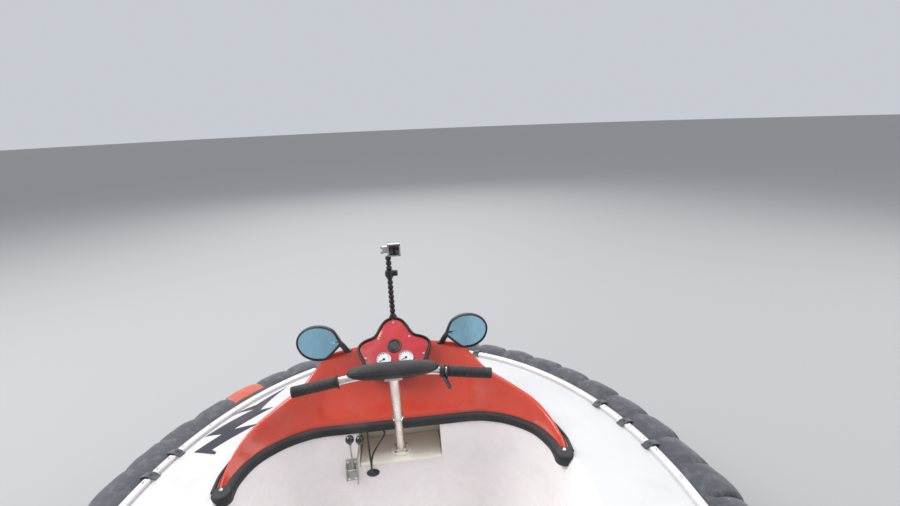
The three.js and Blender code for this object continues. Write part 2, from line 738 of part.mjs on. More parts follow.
const PEDESTAL_RINGS = [
  [158, 486, -480, 130 + GAP],
  [148, 478, -545, 240],
  [140, 470, -575, SEAT.pedestalTop - 20],
  [126, 456, -560, SEAT.pedestalTop],
]; // half width, front y, rear y, height
const pedestal = PEDESTAL_RINGS.map(([half, front, rear, z]) => {
  return roundedBox(-half, half, rear, front, 70, 50, z);
});
add("seat_pedestal", loft(pedestal), "white");

const saddle = new THREE.Shape();
saddle.moveTo(SEAT.rearY + 20, SEAT.pedestalTop);
saddle.lineTo(SEAT.frontY - 20, SEAT.pedestalTop);
saddle.quadraticCurveTo(SEAT.frontY - 5, 500, SEAT.frontY - 70, 524);
saddle.quadraticCurveTo(150, 530, -40, 548);
saddle.quadraticCurveTo(-95, 556, -120, 596);
saddle.quadraticCurveTo(-130, 618, -190, 622);
saddle.lineTo(-470, 628);
saddle.quadraticCurveTo(SEAT.rearY + 15, 632, SEAT.rearY + 15, 560);
const cushion = new THREE.ExtrudeGeometry(saddle, {
  depth: 2 * (SEAT.halfWidth - 16),
  bevelEnabled: true,
  bevelThickness: 16,
  bevelSize: 14,
  bevelOffset: -14,
  bevelSegments: 2,
  curveSegments: 4,
});
cushion.translate(0, 0, -(SEAT.halfWidth - 16));
cushion.applyMatrix4(new THREE.Matrix4().makeBasis(vec(0, 1, 0), vec(0, 0, 1), vec(1, 0, 0)));
cushion.translate(0, 0, GAP);
add("seat_cushion", cushion, "seat");

// Engine, its cover with the passenger's backrest, and the silencer

const COVER_RINGS = [
  [238, -652, -842, DECK_TOP + GAP],
  [232, -656, -840, 680],
  [200, -672, -836, 820],
  [150, -690, -828, 884],
  [90, -712, -812, 902],
]; // half width, front y, rear y, height
function coverSolid(inset, drop) {
  const rings = COVER_RINGS.map(([half, front, rear, z]) => {
    return roundedBox(-half + inset, half - inset, rear + inset, front - inset, 36, 36, z - drop);
  });
  return solidOf(loft(rings));
}
const driveOpening = box(-90, 90, -860, -800, 560, 800);
const engineRearY = -815;
add("engine_cover", coverSolid(0, 0).subtract(coverSolid(7, 8)).subtract(driveOpening), "red");
add("engine_block", box(-150, 150, engineRearY, -680, DECK_TOP + GAP, 780), "alloy");
const backrest = new THREE.ExtrudeGeometry(
  new THREE.Shape(roundedBox(-150, 150, 655, 860, 60, 40, 0, 3).map((p) => new THREE.Vector2(p.x, p.y))),
  { depth: 34, bevelEnabled: true, bevelThickness: 12, bevelSize: 10, bevelOffset: -10, bevelSegments: 2 },
);
backrest.rotateX(Math.PI / 2);
const backrestTilt = Math.atan2(16, 140);
backrest.rotateX(backrestTilt);
backrest.translate(0, -535, 20);
add("backrest_pad", solidOf(backrest).subtract(coverSolid(-GAP, 0)), "seat");

const SILENCER = { x: -330, z: 590, radius: 48, frontY: -690, rearY: -890, pipe: 20, inletY: -730 };
const inSilencer = (x, y, z) => vec(SILENCER.x + x, y, SILENCER.z + z);
const silencer = union(
  bar(inSilencer(0, SILENCER.rearY, 0), inSilencer(0, SILENCER.frontY, 0), SILENCER.radius, 18),
  bar(inSilencer(0, SILENCER.rearY + 10, 0), inSilencer(-70, SILENCER.rearY - 40, 50), SILENCER.pipe, 12),
  bar(inSilencer(0, SILENCER.inletY, 0), inSilencer(130, SILENCER.inletY, 0), SILENCER.pipe, 12),
  box(SILENCER.x - 20, SILENCER.x + 20, -820, -760, DECK_TOP + GAP, SILENCER.z - 30),
);
add("exhaust_silencer", silencer.subtract(coverSolid(-GAP, 0)), "steel");

// Duct, its base, guard, fan and stators

const DUCT_PROFILE = [
  [FAN.exitRadius - 2, FAN.rearY],
  [FAN.exitRadius + 4, FAN.rearY],
  [464, -1290],
  [FAN.outerRadius, -1110],
  [468, -975],
  [451, -932],
  [436, FAN.frontY],
  [420, -934],
  [FAN.boreRadius, -985],
  [FAN.boreRadius, -1150],
]; // radius, y: round the outside from the outlet, then back along the bore
const DUCT_SIDES = 36;
const OUTSIDE_POINTS = 7;
const closed = (profile) => [...profile, profile[0]];
const duct = turned(closed(DUCT_PROFILE), DUCT_SIDES);
add("duct", duct, "white");
const ductOutside = DUCT_PROFILE.slice(1, OUTSIDE_POINTS).map(([r, y]) => [r + 2 * GAP, y]);
const ductOuter = turned([[0, FAN.rearY - 20], ...ductOutside, [0, FAN.frontY + 20]], DUCT_SIDES);
const baseRings = [
  [340, -1000, -1440, DECK_TOP + GAP],
  [330, -1010, -1430, 600],
  [300, -1020, -1420, 680],
];
const baseBlock = loft(
  baseRings.map(([half, front, rear, z]) => roundedBox(-half, half, rear, front, 60, 60, z)),
);
const ductBase = solidOf(baseBlock).subtract(ductOuter);
add("duct_base", largest(ductBase), "white");

const guardY = FAN.frontY + GAP;
const GUARD = { rings: [60, 248, 436], spokes: 8, wire: 6, sides: 18 };
const guardParts = GUARD.rings.map((radius) => {
  const [near, far] = [radius - GUARD.wire / 2, radius + GUARD.wire / 2];
  const [low, high] = [guardY, guardY + GUARD.wire];
  return turned(closed([[near, low], [far, low], [far, high], [near, high]]), GUARD.sides);
});
const spokeFrom = GUARD.rings[0];
const spokeLength = GUARD.rings.at(-1) - spokeFrom;
for (let i = 0; i < GUARD.spokes; i++) {
  const spoke = new THREE.BoxGeometry(spokeLength, 5, 5);
  spoke.translate(spokeFrom + spokeLength / 2, guardY + 4, 0);
  spoke.rotateY(-((i + 0.5) * 2 * Math.PI) / GUARD.spokes);
  guardParts.push(solidOf(spoke.translate(0, 0, FAN.axisZ)));
}
add("fan_guard", union(...guardParts), "steel");

function bladeSection(radius, chord, pitchDeg) {
  const pitch = THREE.MathUtils.degToRad(pitchDeg);
  const outline = [[-0.5, 0], [-0.15, 0.09], [0.2, 0.07], [0.5, 0.01], [0, -0.03]];
  return outline.map(([along, thick]) => {
    const [u, v] = [along * chord, thick * chord];
    const [sine, cosine] = [Math.sin(pitch), Math.cos(pitch)];
    return vec(radius, u * sine + v * cosine, u * cosine - v * sine);
  });
}
const bladeStations = [[58, 70, 48], [230, 100, 34], [FAN.tipRadius, 70, 25]];
const HUB = [[FAN.shaftBore, -1130], [78, -1130], [78, -1085], [50, -1066], [FAN.shaftBore, -1066]];
const fanParts = [turned(closed(HUB), 20)];
for (let i = 0; i < FAN.blades; i++) {
  const blade = loft(bladeStations.map(([radius, chord, pitch]) => bladeSection(radius, chord, pitch)));
  blade.rotateY((i * 2 * Math.PI) / FAN.blades);
  fanParts.push(solidOf(blade.translate(0, FAN.bladeY, FAN.axisZ)));
}
add("fan", union(...fanParts), "black");

const SHAFT_ENDS = { frontY: -838, rearY: -1268 };
const [shaftFront, shaftRear] = [SHAFT_ENDS.frontY, SHAFT_ENDS.rearY].map((y) => vec(0, y, FAN.axisZ));
add("fan_shaft", bar(shaftFront, shaftRear, FAN.shaftRadius, 20), "steel");

const STATOR = { vanes: 5, frontY: -1190, rearY: -1270, boss: 46, tip: 411, width: 60, thickness: 6 };
const statorMid = (STATOR.frontY + STATOR.rearY) / 2;
const bossProfile = [
  [FAN.shaftBore, STATOR.rearY],
  [STATOR.boss, STATOR.rearY],
  [STATOR.boss, STATOR.frontY],
  [FAN.shaftBore, STATOR.frontY],
];
const statorParts = [turned(closed(bossProfile), 20)];
for (let i = 0; i < STATOR.vanes; i++) {
  const root = STATOR.boss - 6;
  const vane = new THREE.BoxGeometry(STATOR.tip - root, STATOR.width, STATOR.thickness);
  vane.translate((STATOR.tip + root) / 2, statorMid, 0);
  vane.rotateY(-Math.PI / 2 + (i * 2 * Math.PI) / STATOR.vanes);
  statorParts.push(solidOf(vane.translate(0, 0, FAN.axisZ)));
}
add("fan_stators", union(...statorParts), "alloy");

// Plate that turns the duct's lower air down into the hull
const SPLITTER = { below: 215, frontY: -1290, rearY: -1465, thickness: 6 };
const splitterZ = FAN.axisZ - SPLITTER.below;
const boreWall = [DUCT_PROFILE[0], ...DUCT_PROFILE.slice(OUTSIDE_POINTS).reverse()];
const boreInside = boreWall.map(([r, y]) => [r - 2 * GAP, y]);
const boreFill = turned([[0, FAN.rearY], ...boreInside, [0, boreInside.at(-1)[1]]], DUCT_SIDES);
const splitterBlock = union(
  box(-450, 450, SPLITTER.rearY, SPLITTER.frontY, splitterZ - SPLITTER.thickness, splitterZ),
  box(-450, 450, SPLITTER.rearY, SPLITTER.rearY + SPLITTER.thickness, 500, splitterZ),
);
add("air_splitter", splitterBlock.intersect(boreFill), "white");

// Belt drive between the engine and the fan

const driveLow = DRIVE.y - DRIVE.width / 2;
const driveHigh = DRIVE.y + DRIVE.width / 2;
function pulley(radius, bore, z) {
  const profile = [[bore, driveLow], [radius, driveLow], [radius, driveHigh], [bore, driveHigh]];
  return turned(bore ? closed(profile) : profile, 20, z);
}
add("fan_pulley", pulley(DRIVE.fanPulley, FAN.shaftBore, FAN.axisZ), "alloy");
const stubEnds = [engineRearY - GAP, driveHigh - 5].map((y) => vec(0, y, DRIVE.engineZ));
const crankStub = bar(...stubEnds, 12, 16);
add("engine_pulley", crankStub.add(pulley(DRIVE.enginePulley, 0, DRIVE.engineZ)), "alloy");

function beltSolid(grow, low, high) {
  const outline = [];
  const rows = [
    [FAN.axisZ, DRIVE.fanPulley + grow, 0],
    [DRIVE.engineZ, DRIVE.enginePulley + grow, Math.PI],
  ]; // pulley's height, radius to the belt, first angle
  const lean = Math.asin((DRIVE.fanPulley - DRIVE.enginePulley) / (FAN.axisZ - DRIVE.engineZ));
  for (const [z, radius, start] of rows) {
    const reach = start === 0 ? lean : -lean;
    for (let i = 0; i <= 12; i++) {
      const angle = start - reach + ((Math.PI + 2 * reach) * i) / 12;
      outline.push(new THREE.Vector2(radius * Math.cos(angle), z + radius * Math.sin(angle)));
    }
  }
  const shape = new THREE.Shape(outline);
  const belt = new THREE.ExtrudeGeometry(shape, { depth: high - low, bevelEnabled: false });
  belt.rotateX(Math.PI / 2);
  belt.translate(0, high, 0);
  return solidOf(belt);
}
const BELT = { clearance: 1.2, outside: 7 };
const beltOuter = beltSolid(BELT.outside, driveLow + 2, driveHigh - 2);
const beltInner = beltSolid(BELT.clearance, driveLow - 5, driveHigh + 5);
add("drive_belt", beltOuter.subtract(beltInner), "rubber");

// Steel frame that carries the fan shaft's front bearing
const FRAME = { rearY: -908, frontY: -886, bearing: 40, footX: 250, pad: 28, tube: 11 };
const CROSS_BAR = { x: 170, z: 700 };
const frameY = (FRAME.rearY + FRAME.frontY) / 2;
const bearingProfile = [
  [FAN.shaftBore, FRAME.rearY],
  [FRAME.bearing, FRAME.rearY],
  [FRAME.bearing, FRAME.frontY],
  [FAN.shaftBore, FRAME.frontY],
];
const frameParts = [turned(closed(bearingProfile), 20)];
for (const side of [-1, 1]) {
  const top = vec(side * 28, frameY, FAN.axisZ - 24);
  const foot = vec(side * FRAME.footX, frameY, DECK_TOP + 4);
  const [near, far] = [side * FRAME.footX - FRAME.pad, side * FRAME.footX + FRAME.pad];
  frameParts.push(bar(top, foot, FRAME.tube, 10));
  frameParts.push(box(near, far, frameY - 22, frameY + 22, DECK_TOP + GAP, DECK_TOP + 8));
}
frameParts.push(bar(vec(-CROSS_BAR.x, frameY, CROSS_BAR.z), vec(CROSS_BAR.x, frameY, CROSS_BAR.z), 8, 8));
const belowDeck = box(-400, 400, -1000, -800, 400, DECK_TOP + GAP);
add("fan_frame", union(...frameParts).subtract(belowDeck), "black");

// Rudders behind the duct

const PIN = { radius: 6, bore: 6.5, depth: 16, sides: 14 };
for (const [name, sign] of [["lower", -1], ["upper", 1]]) {
  const inner = FAN.axisZ + sign * (RUDDER.halfHeight + 6);
  const outer = inner + sign * 18;
  const [low, high] = [Math.min(inner, outer), Math.max(inner, outer)];
  let rail = box(-205, 205, RUDDER.hingeY - 24, FAN.rearY - GAP, low, high);
  for (const x of [-RUDDER.x, RUDDER.x]) {
    const [below, above] = [low - 5, high + 5].map((z) => vec(x, RUDDER.hingeY, z));
    rail = rail.subtract(bar(below, above, PIN.bore, PIN.sides));
  }
  add("rudder_rail_" + name, rail, "alloy");
}

const rudderTop = FAN.axisZ + RUDDER.halfHeight;
const HORN = { y: RUDDER.hingeY - 86, low: rudderTop - 2, top: rudderTop + 26, radius: 5, bore: 5.5 };
function rudder(x) {
  const shape = new THREE.Shape();
  const half = RUDDER.thickness / 2;
  const noseCentre = RUDDER.noseY - half;
  shape.absarc(x, noseCentre, half, 0, Math.PI, false);
  shape.lineTo(x - 9, RUDDER.hingeY - 80);
  shape.lineTo(x - 1.5, RUDDER.tailY);
  shape.lineTo(x + 1.5, RUDDER.tailY);
  shape.lineTo(x + 9, RUDDER.hingeY - 80);
  const blade = new THREE.ExtrudeGeometry(shape, {
    depth: 2 * RUDDER.halfHeight,
    bevelEnabled: false,
    curveSegments: 5,
  });
  blade.translate(0, 0, FAN.axisZ - RUDDER.halfHeight);
  const reach = RUDDER.halfHeight + PIN.depth;
  const pin = bar(
    vec(x, RUDDER.hingeY, FAN.axisZ - reach),
    vec(x, RUDDER.hingeY, FAN.axisZ + reach),
    PIN.radius,
    PIN.sides,
  );
  const horn = bar(vec(x, HORN.y, HORN.low), vec(x, HORN.y, HORN.top), HORN.radius, PIN.sides);
  return union(solidOf(blade), pin, horn);
}
add("rudder_port", rudder(-RUDDER.x), "red");
add("rudder_starboard", rudder(RUDDER.x), "red");

const rodZ = HORN.top - 10;
let tieRod = bar(vec(-RUDDER.x, HORN.y, rodZ), vec(RUDDER.x, HORN.y, rodZ), 4, 8);
for (const x of [-RUDDER.x, RUDDER.x]) {
  const upright = (reach, radius) => {
    return bar(vec(x, HORN.y, rodZ - reach), vec(x, HORN.y, rodZ + reach), radius, PIN.sides);
  };
  tieRod = tieRod.add(upright(6, 11)).subtract(upright(12, HORN.bore));
}
add("rudder_tie_rod", tieRod, "steel");

// Side pods on the after deck

const podShape = new THREE.SphereGeometry(1, 16, 10);
podShape.scale(POD.halfWidth, POD.halfLength, POD.halfHeight);
podShape.translate(POD.x, POD.y, POD.z);
const pod = solidOf(podShape).subtract(deckEnvelope.translate([0, 0, GAP]));
const podTop = largest(pod.subtract(box(300, 900, -1700, -700, 300, 480)));
add("side_pod_starboard", podTop, "red");
add("side_pod_port", mirrored(podTop), "red");

export default craft;
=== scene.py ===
"""Looks of a light two-seat hovercraft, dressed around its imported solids.

Metres throughout, but millimetres in an mm() table, in the solids' own frame:
+X is starboard, +Y forward, +Z up.
"""

from __future__ import annotations

import logging
from bisect import bisect_right
from dataclasses import dataclass, field
from enum import Enum
from functools import lru_cache
from math import asin, atan2, cos, degrees, exp, floor, pi, radians, sin, tau
from typing import Callable, Iterable, Sequence

import bmesh
import bpy
from mathutils import Matrix, Vector, noise


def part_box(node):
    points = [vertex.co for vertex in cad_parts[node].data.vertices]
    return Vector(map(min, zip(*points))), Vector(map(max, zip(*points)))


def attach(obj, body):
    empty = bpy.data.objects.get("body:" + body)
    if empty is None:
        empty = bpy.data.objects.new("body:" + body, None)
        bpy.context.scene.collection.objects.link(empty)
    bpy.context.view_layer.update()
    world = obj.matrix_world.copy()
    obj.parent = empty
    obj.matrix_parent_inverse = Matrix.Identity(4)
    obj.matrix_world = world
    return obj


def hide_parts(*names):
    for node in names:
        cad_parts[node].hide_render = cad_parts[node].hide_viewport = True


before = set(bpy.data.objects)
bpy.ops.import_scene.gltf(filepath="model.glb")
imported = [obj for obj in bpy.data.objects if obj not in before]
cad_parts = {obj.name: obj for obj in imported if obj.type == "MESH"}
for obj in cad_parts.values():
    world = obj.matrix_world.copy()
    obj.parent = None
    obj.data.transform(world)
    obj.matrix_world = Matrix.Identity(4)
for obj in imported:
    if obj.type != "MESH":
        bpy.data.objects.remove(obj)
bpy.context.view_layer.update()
LOG = logging.getLogger("hovercraft")

Mesh = bmesh.types.BMesh
Ring = Sequence[Vector]
Row = Sequence[float]
Points = list[tuple[float, ...]]
UP = Vector((0, 0, 1))
FORWARD = Vector((0, 1, 0))
SIDEWAYS = Matrix(((0, 0, 1, 0), (1, 0, 0, 0), (0, 1, 0, 0), (0, 0, 0, 1)))  # a plate's X and Y along Y and Z
HULL = "hull"
SIDES = ((-1, "port"), (1, "starboard"))
TINY = 1e-6


# Shader graphs


class Value:
    """A socket of a shader graph that can stand in an expression."""

    def __init__(self, graph: "Graph", socket: bpy.types.NodeSocket) -> None:
        """Keeps the graph and the socket that the value comes from."""
        self.graph = graph
        self.socket = socket

    def apply(self, operation: str, other: "Value | float") -> "Value":
        """One Math node on this value.

        Args:
            operation: The Math node's operation.
            other: The value or number of its second socket.

        Returns:
            The node's result.
        """
        made = self.graph.node("ShaderNodeMath", {"operation": operation}, {0: self, 1: other})
        return Value(self.graph, made.outputs[0])

    def __add__(self, other: "Value | float") -> "Value":
        """Sum of two values."""
        return self.apply("ADD", other)

    def __sub__(self, other: "Value | float") -> "Value":
        """This value less another."""
        return self.apply("SUBTRACT", other)

    def __rsub__(self, other: float) -> "Value":
        """A number less this value."""
        return (self - other) * -1

    def __mul__(self, other: "Value | float") -> "Value":
        """Product of two values."""
        return self.apply("MULTIPLY", other)

    __radd__ = __add__
    __rmul__ = __mul__

    def between(self, low: float, high: float) -> "Value":
        """Maps a range of this value onto 0 to 1, held at its ends.

        Args:
            low: The value that gives 0.
            high: The value that gives 1.

        Returns:
            The mapped value.
        """
        sockets = {"Value": self, "From Min": low, "From Max": high}
        made = self.graph.node("ShaderNodeMapRange", {"clamp": True}, sockets)
        return Value(self.graph, made.outputs[0])


class Graph:
    """One material's node tree, built from expressions."""

    def __init__(self, name: str) -> None:
        """Starts a material with an empty tree and one principled shader.

        Args:
            name: The material's name.
        """
        self.material = bpy.data.materials.new(name)
        self.material.use_nodes = True
        self.tree = self.material.node_tree
        self.tree.nodes.clear()
        self.shader = self.node("ShaderNodeBsdfPrincipled")
        output = self.node("ShaderNodeOutputMaterial")
        self.tree.links.new(self.shader.outputs[0], output.inputs[0])

    def node(self, kind: str, settings: dict | None = None, sockets: dict | None = None) -> bpy.types.Node:
        """Adds a node.

        Args:
            kind: The node's type.
            settings: Its properties, set before its sockets.
            sockets: Values or links by the socket's name or number.

        Returns:
            The node.
        """
        made = self.tree.nodes.new(kind)
        for key, value in (settings or {}).items():
            setattr(made, key, value)
        for key, value in (sockets or {}).items():
            self.feed(made.inputs[key], value)
        return made

    def feed(self, socket: bpy.types.NodeSocket, value: object) -> None:
        """Links a value to a socket, or sets the socket to plain numbers.

        Args:
            socket: A node's input.
            value: The value or the numbers.
        """
        if isinstance(value, Value):
            self.tree.links.new(value.socket, socket)
        else:
            socket.default_value = value

    def place(self, scale: Row = (1, 1, 1)) -> Value:
        """Object coordinates.

        Args:
            scale: The stretch along each axis.

        Returns:
            The coordinates.
        """
        here = Value(self, self.node("ShaderNodeTexCoord").outputs["Object"])
        made = self.node("ShaderNodeMapping", None, {"Vector": here, "Scale": scale})
        return Value(self, made.outputs[0])

    def axis(self, letter: str) -> Value:
        """One object coordinate in metres, by its letter."""
        here = Value(self, self.node("ShaderNodeTexCoord").outputs["Object"])
        parts = self.node("ShaderNodeSeparateXYZ", None, {0: here})
        return Value(self, parts.outputs[letter])

    def noise(self, scale: float, detail: float = 3, where: Value | None = None) -> Value:
        """Soft noise from 0 to 1.

        Args:
            scale: Features in a metre.
            detail: How many finer layers are added.
            where: The coordinates, or None for the object's own.

        Returns:
            The noise.
        """
        sockets = {"Vector": where or self.place(), "Scale": scale, "Detail": detail}
        return Value(self, self.node("ShaderNodeTexNoise", None, sockets).outputs[0])

    def cells(self, scale: float) -> Value:
        """Distance to scattered points, so many to a metre."""
        made = self.node("ShaderNodeTexVoronoi", None, {"Vector": self.place(), "Scale": scale})
        return Value(self, made.outputs["Distance"])

    def waves(self, scale: float, direction: str) -> Value:
        """Parallel waves from 0 to 1.

        Args:
            scale: Waves in a metre, near enough.
            direction: The axis that they follow each other along.

        Returns:
            The waves.
        """
        settings = {"wave_type": "BANDS", "bands_direction": direction}
        made = self.node("ShaderNodeTexWave", settings, {"Vector": self.place(), "Scale": scale})
        return Value(self, made.outputs["Fac"])

    def blend(self, factor: Value, first: "Row | Value", second: "Row | Value") -> Value:
        """Mixes two colours.

        Args:
            factor: 0 gives the first colour and 1 the second.
            first: A colour of three numbers, or a colour value.
            second: The same.

        Returns:
            The mixed colour.
        """
        made = self.node("ShaderNodeMix", {"data_type": "RGBA"})
        self.feed(made.inputs["Factor"], factor)
        for socket, colour in ((made.inputs[6], first), (made.inputs[7], second)):
            self.feed(socket, colour if isinstance(colour, Value) else (*colour, 1))
        return Value(self, made.outputs[2])

    def bump(self, height: Value, depth: float) -> None:
        """Raises the surface by a height of 0 to 1 times depth in metres."""
        made = self.node("ShaderNodeBump", None, {"Height": height, "Distance": depth, "Strength": 1.0})
        self.feed(self.shader.inputs["Normal"], Value(self, made.outputs[0]))

    def set(self, **sockets: object) -> None:
        """Feeds the shader's sockets, named with underscores for spaces."""
        for key, value in sockets.items():
            self.feed(self.shader.inputs[key.replace("_", " ")], value)


# Finishes


@dataclass(frozen=True)
class Moulding:
    """Gel-coated glass fibre: glossy, a little wavy, with dust and dried splashes; on the dash panel its
    darker second tone and heavy dust also paint mottled reflections and highlights.
    """

    name: str
    colour: Row
    shade: Row
    slot: str
    roughness: float = 0.16
    dust: Row = (0.42, 0.38, 0.33)
    grime_and_highlight: float = 0.35
    wave: float = 0.0

    def build(self) -> bpy.types.Material:
        """Makes the material."""
        g = Graph(self.name)
        cloud = g.noise(2.3, 4).between(0.35, 0.7)
        base = g.blend(cloud * 0.5, self.colour, self.shade)
        splash = g.noise(9, 8).between(0.56, 0.74)
        specks = g.cells(260).between(0.1, 0.02) * g.noise(5, 2).between(0.45, 0.65)
        low = 1 - g.axis("Z").between(0.12, 0.75)
        # Dust and dried splashes, heavier low down; on the dash panel they also paint highlights.
        dirt_and_highlight = (splash * (0.25 + 0.75 * low) + specks * 0.5) * self.grime_and_highlight
        g.set(Base_Color=g.blend(dirt_and_highlight.apply("MINIMUM", 0.8), base, self.dust))
        smear = g.noise(30, 6, g.place((1, 0.25, 1))).between(0.4, 0.7)
        g.set(Roughness=self.roughness + 0.1 * smear + 0.45 * dirt_and_highlight, Coat_Weight=0.4, Coat_Roughness=0.06)
        wave = g.noise(16, 2) if not self.wave else g.noise(16, 2) + g.noise(19, 3) * self.wave
        g.bump(g.noise(420, 2) * 0.3 + wave, 0.0006)
        return g.material


@dataclass(frozen=True)
class SkirtCloth:
    """Coated nylon: a fine plain weave under a dull coat, dusty and damp."""

    name: str
    colour: Row
    worn: Row
    slot: str

    def build(self) -> bpy.types.Material:
        """Makes the material."""
        g = Graph(self.name)
        patch = g.noise(7, 6).between(0.35, 0.7)
        streak = g.noise(40, 5, g.place((1, 1, 0.12))).between(0.5, 0.75)
        scuff = g.noise(55, 8).between(0.6, 0.8)
        base = g.blend(patch, self.colour, self.worn)
        salt = g.blend(streak * 0.24 + scuff * 0.24, base, (0.3, 0.3, 0.3))
        mud = g.axis("Z").between(0.2, 0.02) * g.noise(14, 5).between(0.35, 0.6)
        g.set(Base_Color=g.blend(mud * 0.6, salt, (0.2, 0.16, 0.12)))
        g.set(Roughness=0.42 + 0.22 * patch + 0.15 * scuff, Sheen_Weight=0.25, Sheen_Roughness=0.5)
        weave = g.waves(160, "X") * 0.5 + g.waves(160, "Z") * 0.5 + g.waves(160, "Y") * 0.5
        crease = g.noise(22, 5, g.place((1, 1, 0.5)))
        g.bump(weave * 0.1 + crease, 0.0035)
        return g.material


@dataclass(frozen=True)
class Grained:
    """Plastic, rubber or vinyl with a pebbled grain and rubbed patches."""

    name: str
    colour: Row
    rubbed: Row
    slot: str
    roughness: float
    grain: float = 700
    depth: float = 0.0004
    coat: float = 0.0

    def build(self) -> bpy.types.Material:
        """Makes the material."""
        g = Graph(self.name)
        rub = g.noise(18, 6).between(0.5, 0.75)
        dust = g.noise(6, 4).between(0.5, 0.8)
        base = g.blend(rub * 0.7, self.colour, self.rubbed)
        g.set(Base_Color=g.blend(dust * 0.25, base, (0.25, 0.23, 0.2)))
        g.set(Roughness=self.roughness + 0.12 * rub + 0.1 * dust, Coat_Weight=self.coat)
        pebble = g.cells(self.grain).between(0.0, 0.6)
        g.bump(pebble + g.noise(45, 3) * 0.8, self.depth)
        return g.material


@dataclass(frozen=True)
class Metal:
    """Bare or plated metal with drawn lines, fingermarks and a little tarnish."""

    name: str
    colour: Row
    tarnish: Row
    slot: str
    roughness: float
    lines: Row = (1, 1, 60)
    stain: float = 0.5

    def build(self) -> bpy.types.Material:
        """Makes the material."""
        g = Graph(self.name)
        lines = g.noise(60, 4, g.place(self.lines))
        marks = g.noise(25, 6).between(0.45, 0.75)
        g.set(Base_Color=g.blend(marks * self.stain, self.colour, self.tarnish), Metallic=1.0)
        g.set(Roughness=self.roughness + 0.1 * lines + 0.18 * marks)
        g.bump(lines, 0.00015)
        return g.material


@dataclass(frozen=True)
class Glossy:
    """A smooth hard surface, such as a lens, a knob, a dial or a mirror."""

    name: str
    colour: Row
    slot: str
    roughness: float = 0.08
    metallic: float = 0.0
    coat: float = 0.6

    def build(self) -> bpy.types.Material:
        """Makes the material."""
        g = Graph(self.name)
        smear = g.noise(40, 5).between(0.45, 0.75)
        spots = g.noise(160, 2).between(0.66, 0.74)
        base = g.blend(spots * 0.25, self.colour, (0.45, 0.42, 0.38))
        g.set(Base_Color=base, Metallic=self.metallic, Coat_Weight=self.coat, Coat_Roughness=0.03)
        g.set(Roughness=self.roughness + 0.1 * smear + 0.3 * spots)
        return g.material


class Finish(Enum):
    """Every finish on the craft."""

    WHITE = Moulding("white_gelcoat", (0.66, 0.65, 0.655), (0.585, 0.575, 0.6), "white_gelcoat")
    # Painted light: the tub takes a brighter, warmer copy of the same white gelcoat, so that it looks more
    # strongly lit than the deck.
    TUB_LIT = Moulding("tub_gelcoat_lit", (0.92, 0.875, 0.865), (0.85, 0.8, 0.8), "white_gelcoat", 0.24, grime_and_highlight=0.25)
    # Painted light: the cream gelcoat is made paler than its own tone, to lighten the shelf, the recess walls
    # and the flange, which lie in shade.
    CREAM_LIT = Moulding("cream_gelcoat", (0.88, 0.85, 0.74), (0.78, 0.75, 0.64), "cream_gelcoat", 0.35)
    RED = Moulding("red_gelcoat", (0.61, 0.06, 0.03), (0.49, 0.043, 0.026), "red_gelcoat", 0.18, grime_and_highlight=0.22)
    # Painted reflections: the dash panel's much darker second tone and its heavy pale dust stand in for the
    # dark and light reflections of its gloss, partly real dust.
    SHIELD = Moulding(
        "shield_red", (0.62, 0.05, 0.058), (0.36, 0.016, 0.024), "red_gelcoat", 0.1, grime_and_highlight=0.55, wave=5.0
    )
    SKIRT = SkirtCloth("skirt_cloth", (0.022, 0.024, 0.034), (0.05, 0.052, 0.068), "skirt_fabric")
    ORANGE = SkirtCloth("skirt_cloth_orange", (0.56, 0.07, 0.022), (0.48, 0.08, 0.035), "skirt_fabric")
    RUBBER = Grained("edge_rubber", (0.016, 0.016, 0.02), (0.035, 0.034, 0.038), "black_rubber", 0.55)
    PLASTIC = Grained("black_plastic", (0.01, 0.01, 0.013), (0.03, 0.03, 0.034), "black_plastic", 0.32)
    SHELL = Grained("gloss_black", (0.007, 0.007, 0.009), (0.02, 0.02, 0.022), "black_plastic", 0.3)
    VINYL = Grained("seat_vinyl", (0.012, 0.012, 0.014), (0.03, 0.03, 0.032), "seat_vinyl", 0.42, 420, 0.0007)
    RUNNER = Grained("skid_plastic", (0.03, 0.03, 0.032), (0.1, 0.1, 0.1), "skid_plastic", 0.6)
    PAINT = Grained("frame_paint", (0.012, 0.012, 0.014), (0.05, 0.05, 0.05), "black_paint", 0.3, 900, 0.0002)
    FLASH = Grained(
        "flash_vinyl", (0.022, 0.022, 0.032), (0.04, 0.04, 0.05), "black_plastic", 0.35, 900, 0.0001
    )
    STEEL = Metal("stainless", (0.8, 0.75, 0.7), (0.58, 0.52, 0.45), "stainless", 0.2)
    BRIGHT = Metal("bright_steel", (0.78, 0.77, 0.75), (0.6, 0.58, 0.55), "stainless", 0.12)
    HEATED = Metal("heated_steel", (0.48, 0.42, 0.36), (0.25, 0.18, 0.15), "stainless", 0.28, stain=0.8)
    PLATE = Metal("dull_plate", (0.46, 0.46, 0.45), (0.34, 0.33, 0.3), "alloy", 0.5)
    ALLOY = Metal("cast_alloy", (0.52, 0.53, 0.54), (0.36, 0.36, 0.36), "alloy", 0.34)
    KNOB = Glossy("ball_knob", (0.008, 0.008, 0.01), "black_plastic")
    DIAL = Glossy("dial_white", (0.8, 0.81, 0.79), "dial_face", 0.16)
    MARK = Glossy("dial_mark", (0.01, 0.01, 0.012), "dial_face", 0.3)
    LENS = Glossy("camera_lens", (0.012, 0.014, 0.022), "black_plastic", 0.04)
    MIRROR = Glossy("mirror_blue", (0.22, 0.44, 0.57), "mirror_glass", 0.03, 1.0)

    @property
    @lru_cache
    def material(self) -> bpy.types.Material:
        """The finish's material, made once."""
        return self.value.build()


# Mesh tools


def xyz(x: float, y: float, z: float) -> Vector:
    """A point or a direction from its three numbers."""
    return Vector((x, y, z))


